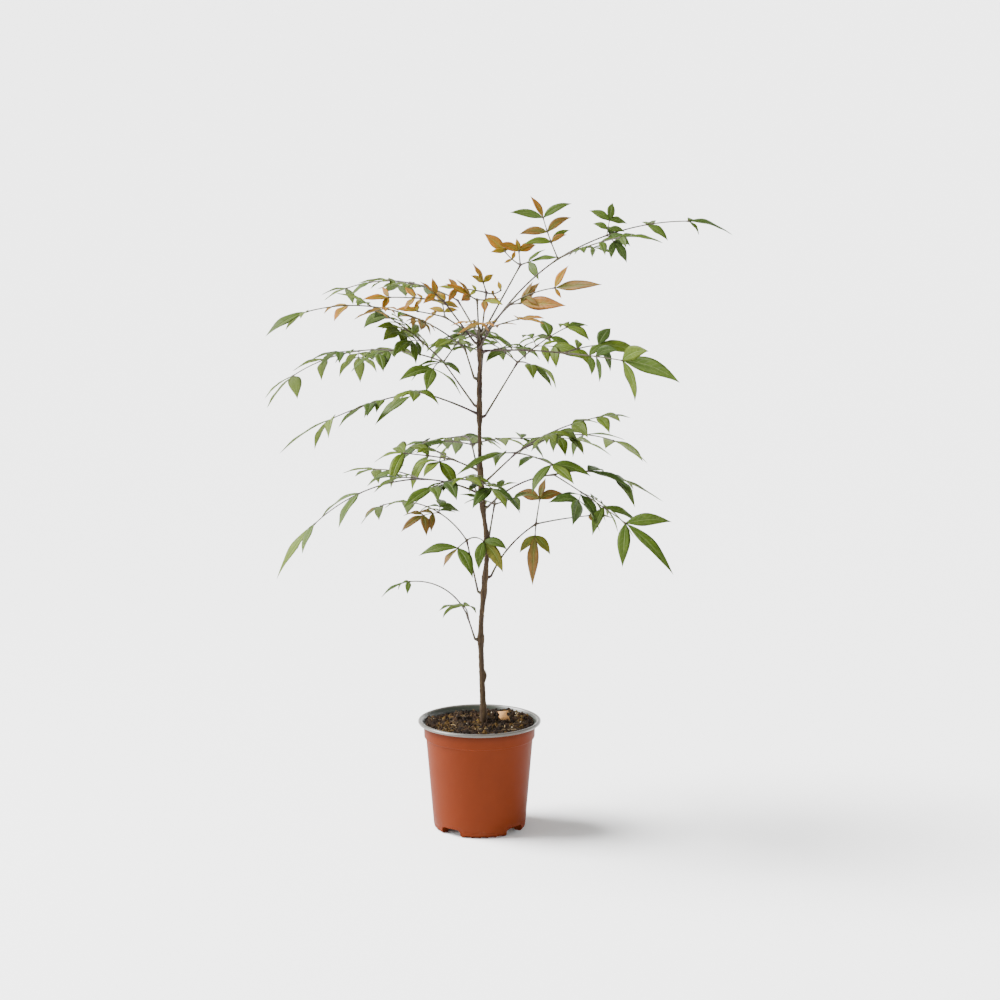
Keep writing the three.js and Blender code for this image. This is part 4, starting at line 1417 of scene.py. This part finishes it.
def bank_share(x, y):
    """How far the compost is banked up against the wall at a place."""
    behind = math.cos(math.atan2(y, x) - math.radians(BANK["hollow"]))
    hollow = clamp((behind - BANK["hollow_from"]) / BANK["hollow_fade"])
    return clamp((math.hypot(x, y) - BANK["starts"]) / BANK["width"]) * (1 - hollow)


def soil_height(surface, x, y):
    """The height of the compost's surface under a point."""
    hit, where, _, _ = surface.ray_cast(Vector((x * MM, y * MM, 0.2)), Vector((0, 0, -1)))
    return where.z / MM if hit else SOIL_LEVEL - 3


def scatter(random, count, reach, keep_off=0):
    """Even places on a disc."""
    places = []
    while len(places) < count:
        x, y = (random() * 2 - 1) * reach, (random() * 2 - 1) * reach
        if keep_off < math.hypot(x, y) < reach:
            places.append((x, y))
    return places


def add_fibre(pile, random, surface, finish):
    """A thin bent rootlet that lies on the compost."""
    [(x, y)] = scatter(random, 1, 50, 6)
    turn = random() * 2 * math.pi
    curl = (random() * 2 - 1) * 1.6
    length = 4 + 11 * random()
    radius = 0.16 + 0.3 * random() ** 2
    stations = []
    steps = 6
    lift = 0.4 + random()
    for i in range(steps + 1):
        share = i / steps
        bearing = math.degrees(turn + curl * share)
        z = soil_height(surface, x, y) + radius + lift * math.sin(math.pi * share)
        stations.append(Station(np.array([x, y, z]), bearing, 0))
        x += length / steps * math.cos(math.radians(bearing))
        y += length / steps * math.sin(math.radians(bearing))
        if math.hypot(x, y) > 55:
            break
    if len(stations) < 3:
        return
    rings = [ring_points(s, radius * (1 - 0.5 * i / steps), 5) for i, s in enumerate(stations)]
    pile.add_loft(rings, finish)


def add_scrap(pile, centre, size, turn, finish):
    """A curled scrap of dry leaf, propped up towards the front: a thin plate with a torn edge."""
    rows = 7
    rings = []
    side = np.array([math.cos(math.radians(turn)), math.sin(math.radians(turn)), 0.1])
    up = np.array([0, 0.55, 0.83])
    lift = np.cross(side, up)
    for r in range(rows):
        share = r / (rows - 1)
        half = size * (0.5 - 0.12 * share) * (0.8 + 0.2 * math.sin(7 * share + 0.6))
        curl = 1.2 * math.sin(math.pi * share)
        middle = np.array(centre) + up * (share - 0.35) * size * 0.75 + lift * curl
        section = ((half, 0.8), (0, 0), (-half, 1.1), (-half, 0.8), (0, -0.3), (half, 0.5))
        rings.append([middle + side * x + lift * y for x, y in section])
    pile.add_loft(rings, finish)


class BAMBOO_OT_make_soil(bpy.types.Operator):
    """Make the compost, with its crumbs, grit, fibres and a scrap of dry leaf"""

    bl_idname = "bamboo.make_soil"
    bl_label = "Make compost"

    def execute(self, context):
        soil = context.scene.bamboo_soil
        piece = extrude_rings("compost", 96, soil_rings())
        top = piece.vertex_groups.new(name="top")
        bank = piece.vertex_groups.new(name="bank")
        for vertex in piece.data.vertices:
            x, y, z = vertex.co / MM
            if z > SOIL["edge"] - 1.6:
                off_wall = clamp((SOIL["reach"] + 0.4 - math.hypot(x, y)) / 5)
                top.add([vertex.index], off_wall, "REPLACE")
                bank.add([vertex.index], bank_share(x, y), "REPLACE")
        settings = dict(direction="Z", mid_level=0, strength=soil.bank, vertex_group="bank")
        apply_modifier(piece, "DISPLACE", **settings)
        displace(piece, 0.016, soil.lump, 1, "top")
        displace(piece, 0.005, soil.lump * 0.7, 3, "top")
        piece.vertex_groups.clear()
        dress(piece, ["soil"], [compost_finish(soil.colour)])
        smooth_shading(piece, 60)
        random = seeded_random(LITTER_SEED)
        self.add_crumbs(soil.crumbs, random, piece)
        self.add_grit(soil.grit, random, piece)
        self.add_fibres(soil.fibres, random, piece)
        return {"FINISHED"}

    def add_crumbs(self, count, random, surface):
        """Mostly fine crumbs and a few coarse ones, with more of the mossy ones in patches."""
        crumbs = Pile()
        for x, y in scatter(random, count, SOIL["reach"] - 0.7):
            size = 0.4 + 2.6 * random() ** 4
            spokes = [size * (0.5 + 0.9 * random()) for _ in range(6)]
            centre = (x, y, soil_height(surface, x, y) + size * 0.25)
            patch = 0.5 + 0.25 * (math.sin(x * 0.17 + 1) + math.cos(y * 0.21 - x * 0.06))
            crumbs.add_lump(centre, (spokes, random() * 3), int((patch * random()) ** 0.8 * 4))
        piece = crumbs.make("compost_crumbs", smooth=False)
        dress(piece, [], crumb_finishes(CRUMB_TINTS))

    def add_grit(self, count, random, surface):
        """White grains, clear of the cane and the wall."""
        grit = Pile()
        for x, y in scatter(random, count, 52, 6):
            size = 0.45 + 0.7 * random()
            spokes = [size * (0.7 + 0.6 * random()) for _ in range(6)]
            centre = (x, y, soil_height(surface, x, y) + size * 0.5)
            grit.add_lump(centre, (spokes, random() * 3))
        piece = grit.make("perlite_grit", smooth=False)
        dress(piece, [], [crumb_finish("perlite", linear("beb59d"))])

    def add_fibres(self, count, random, surface):
        """Rootlets, and the scrap of dry leaf among them."""
        litter = Pile()
        for k in range(count):
            add_fibre(litter, random, surface, k % 3)
        height = soil_height(surface, *SCRAP["place"]) + SCRAP["lift"]
        add_scrap(litter, (*SCRAP["place"], height), SCRAP["size"], SCRAP["turn"], 3)
        piece = litter.make("compost_fibres")
        dress(piece, [], crumb_finishes(FIBRE_TINTS))


# ---------------------------------------------------------------- cane and stalks


def cane_rings():
    """From under the compost to the tip, with a ridge and a groove at each scar."""
    rings = []
    z = SOIL_LEVEL - 4
    top = CANE["top"]
    while z < top:
        scar = sum(0.45 * bell(z - s, 1.3) - 0.25 * bell(z - s - 2.4, 1) for s in SCARS)
        at = max(z, SOIL_LEVEL)
        centre = cane_centre(at)
        rings.append(((centre[0], centre[1], z), cane_radius(at) + scar))
        z += 1.6
    tip = cane_centre(top)
    for share in (0, 0.5, 1):
        height = top + CANE["tip"] * 2 * share
        rings.append(((tip[0], tip[1], height), CANE["tip"] * lerp(1, 0.35, share**2)))
    return rings


def add_stub(pile):
    """The stub of a pruned shoot, which hugs the cane."""
    height, bearing = STUB
    out = heading(bearing, 0)
    root = cane_centre(height - 6) + out * (cane_radius(height) - 1.9)
    path = drooping_path(root, bearing, 82, -8, 14, 5)
    radii = (1.5, 2.7, 3.3, 3.2, 2.5, 1.3)
    pile.add_loft([ring_points(s, r, STALK_SIDES) for s, r in zip(path, radii)])


def add_stalk_mesh(pile, frond, path):
    """A sheath that clasps the cane, a tapering stalk, and the knuckle at its fork."""
    out = heading(frond.bearing, 0)
    inner = Station(path[0].at - out * (GAP + 1.4), frond.bearing, 0)
    finer = between(path, FINER)
    last = len(finer) - 1
    bent = 2 * FINER
    rings = [ring_points(inner, 1.9, STALK_SIDES)]
    for i, station in enumerate(finer):
        pitch = lerp(0, finer[bent].pitch, i / bent) if i < bent else station.pitch
        radius = lerp(1.15, 0.8, i / last) + 0.75 * math.exp(-i / 2.2) + 0.4 * bell(last - i, 2)
        rings.append(
            ring_points(Station(station.at, station.bearing, pitch), radius, STALK_SIDES)
        )
    fork = path[-1]
    along = heading(fork.bearing, fork.pitch)
    for reach, radius in ((1, 1.3), (2.1, 1.4), (3.2, 1.15), (4, 0.6)):
        beyond = Station(fork.at + along * reach, fork.bearing, fork.pitch)
        rings.append(ring_points(beyond, radius, STALK_SIDES))
    pile.add_loft(rings)


class BAMBOO_OT_make_cane(bpy.types.Operator):
    """Make the cane, with the relief of its bark, its scars and a pruned stub"""

    bl_idname = "bamboo.make_cane"
    bl_label = "Make cane"

    def execute(self, context):
        cane = context.scene.bamboo_cane
        piece = extrude_rings("cane", 18, cane_rings())
        stub = Pile()
        add_stub(stub)
        nub = stub.make("pruned_stub")
        select_only(piece)
        nub.select_set(True)
        bpy.ops.object.join()
        apply_modifier(piece, "SUBSURF", levels=1, render_levels=1)
        displace(piece, 0.0035, cane.relief, 2)
        displace(piece, 0.0012, cane.relief * 0.4, 1)
        finish = bark_finish(cane.lower_colour, cane.upper_colour)
        dress(piece, ["stem"], [finish])
        smooth_shading(piece, 60)
        return {"FINISHED"}


class BAMBOO_OT_make_stalks(bpy.types.Operator):
    """Make the leaf stalks with the sheaths that clasp the cane"""

    bl_idname = "bamboo.make_stalks"
    bl_label = "Make leaf stalks"

    def execute(self, context):
        cane = context.scene.bamboo_cane
        pile = Pile()
        for frond in FRONDS:
            add_stalk_mesh(pile, frond, stalk_path(frond))
        piece = pile.make("leaf_stalks")
        displace(piece, 0.004, cane.relief * 0.5, 2)
        nodes = [f"stalk_{frond.name}" for frond in FRONDS]
        finish = stalk_finish("stalk_skin", cane.stalk_colour, cane.twig_colour)
        dress(piece, nodes, [finish])
        return {"FINISHED"}


# ---------------------------------------------------------------- foliage


class BAMBOO_OT_make_foliage(bpy.types.Operator):
    """Grow the twigs and leaflets of each compound leaf"""

    bl_idname = "bamboo.make_foliage"
    bl_label = "Grow foliage"

    def execute(self, context):
        cane = context.scene.bamboo_cane
        masses = grow_plant()
        twigs = Pile()
        for mass in masses:
            for twig in mass.twigs:
                add_twig_mesh(twigs, twig)
        piece = twigs.make("twigs")
        green = shade(cane.twig_colour, 1.1)
        finish = stalk_finish("twig_skin", blend_colours(cane.stalk_colour, green, 0.35), green)
        dress(piece, [], [finish])
        self.add_blades("leaflets", "foliage", masses, young=False)
        self.add_blades("young_leaflets", "young_foliage", masses, young=True)
        return {"FINISHED"}

    def add_blades(self, name, slot, masses, young):
        """One joined piece of all the leaflets of a kind, with a finish for each of its tints."""
        masses = [mass for mass in masses if mass.frond.young == young]
        tints = sorted({leaf.tint for mass in masses for leaf in mass.leaves})
        random = seeded_random(WAVE_SEED)
        pile = Pile()
        for mass in masses:
            for leaf in mass.leaves:
                add_blade_mesh(pile, leaf, tints.index(leaf.tint), random)
        piece = pile.make(name)
        dress(piece, [mass.owner for mass in masses], [leaf_finish(tint) for tint in tints])


# ---------------------------------------------------------------- stage

# Metres from the middle, and the floor's height there. It turns up slowly, far from the plant.
FLOOR = ((8, 0), (12, 0.1), (20, 0.5), (40, 2.4), (80, 10), (110, 24), (130, 45))
# Where the lights stand and look, the key light's spread in degrees and the side light's width.
KEY_LIGHT = dict(place=(-1.9, 0.3, 2.2), aim=(0, 0, 0), spread=34)
SIDE_LIGHT = dict(place=(-1.6, -0.35, 0.4), aim=(0, 0, 0.3), width=0.9)


def make_floor(colour):
    """A floor of matte paper that reaches as far as any camera sees, with no horizon."""
    rings = [((0, 0, height / MM), reach / MM) for reach, height in FLOOR]
    piece = extrude_rings("stage_floor", 64, rings)
    bpy.ops.object.mode_set(mode="EDIT")
    bpy.ops.mesh.select_all(action="DESELECT")
    bpy.ops.object.mode_set(mode="OBJECT")
    # The disc over the last ring goes.
    for face in piece.data.polygons:
        face.select = face.center.z > FLOOR[-2][1] and len(face.vertices) > 4
    bpy.ops.object.mode_set(mode="EDIT")
    bpy.ops.mesh.delete(type="FACE")
    bpy.ops.object.mode_set(mode="OBJECT")
    smooth_shading(piece, 60)
    piece.data.materials.append(stage_finish(colour))
    piece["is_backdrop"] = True


def facing(place, aim):
    """The turn of a light or camera at a place that looks at a point."""
    return (Vector(aim) - Vector(place)).to_track_quat("-Z", "Y").to_euler()


class BAMBOO_OT_make_stage(bpy.types.Operator):
    """Make the floor, the lights and the camera"""

    bl_idname = "bamboo.make_stage"
    bl_label = "Make stage"

    def execute(self, context):
        stage = context.scene.bamboo_stage
        make_floor(stage.paper_colour)
        world = bpy.data.worlds.new("studio")
        world.use_nodes = True
        sky = world.node_tree.nodes["Background"]
        sky.inputs["Color"].default_value = (1, 1, 1, 1)
        sky.inputs["Strength"].default_value = stage.daylight
        context.scene.world = world
        self.add_lights(stage)
        self.add_camera(context, stage)
        return {"FINISHED"}

    def add_lights(self, stage):
        key = self.add_light("SUN", "key_light", KEY_LIGHT, stage.key_power)
        key.angle = math.radians(KEY_LIGHT["spread"])
        side = self.add_light("AREA", "side_light", SIDE_LIGHT, stage.side_power)
        side.shape = "SQUARE"
        side.size = SIDE_LIGHT["width"]

    def add_light(self, kind, name, stand, power):
        deselect_all()
        place = stand["place"]
        turn = facing(place, stand["aim"])
        bpy.ops.object.light_add(type=kind, location=place, rotation=turn)
        light = bpy.context.object
        light.name = name
        light.data.energy = power
        return light.data

    def add_camera(self, context, stage):
        deselect_all()
        place = Vector((stage.aim_side, -stage.camera_distance, stage.camera_height))
        aim = Vector((stage.aim_side, 0, stage.aim_height))
        bpy.ops.object.camera_add(location=place, rotation=facing(place, aim))
        camera = bpy.context.object
        camera.data.lens = stage.lens
        camera.data.sensor_width = 36
        camera.data.clip_end = 300
        context.scene.camera = camera


# ---------------------------------------------------------------- add-on

OPERATORS = (
    BAMBOO_OT_make_pot,
    BAMBOO_OT_make_soil,
    BAMBOO_OT_make_cane,
    BAMBOO_OT_make_stalks,
    BAMBOO_OT_make_foliage,
    BAMBOO_OT_make_stage,
)
PROPERTIES = {
    "bamboo_pot": PotProperties,
    "bamboo_soil": SoilProperties,
    "bamboo_cane": CaneProperties,
    "bamboo_stage": StageProperties,
}


class BAMBOO_PT_plant(bpy.types.Panel):
    """The plant's operators and properties"""

    bl_idname = "BAMBOO_PT_plant"
    bl_label = "Potted heavenly bamboo"
    bl_space_type = "VIEW_3D"
    bl_region_type = "UI"
    bl_category = "Plant"

    def draw(self, context):
        for operator in OPERATORS:
            self.layout.operator(operator.bl_idname)
        for name, kind in PROPERTIES.items():
            box = self.layout.box()
            box.label(text=kind.__doc__)
            for field_name in kind.__annotations__:
                box.prop(getattr(context.scene, name), field_name)


def register():
    for kind in (*PROPERTIES.values(), *OPERATORS, BAMBOO_PT_plant):
        bpy.utils.register_class(kind)
    for name, kind in PROPERTIES.items():
        setattr(bpy.types.Scene, name, PointerProperty(type=kind))


def unregister():
    for name in PROPERTIES:
        delattr(bpy.types.Scene, name)
    for kind in (BAMBOO_PT_plant, *reversed(OPERATORS), *reversed(PROPERTIES.values())):
        bpy.utils.unregister_class(kind)


def main():
    register()
    bpy.ops.bamboo.make_stage()
    bpy.ops.bamboo.make_pot()
    bpy.ops.bamboo.make_soil()
    bpy.ops.bamboo.make_cane()
    bpy.ops.bamboo.make_stalks()
    bpy.ops.bamboo.make_foliage()
    boxes = {"cad": cad_box, "visual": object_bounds()}
    sizes = {name: [list(corner) for corner in box] for name, box in boxes.items()}


if __name__ == "__main__":
    main()
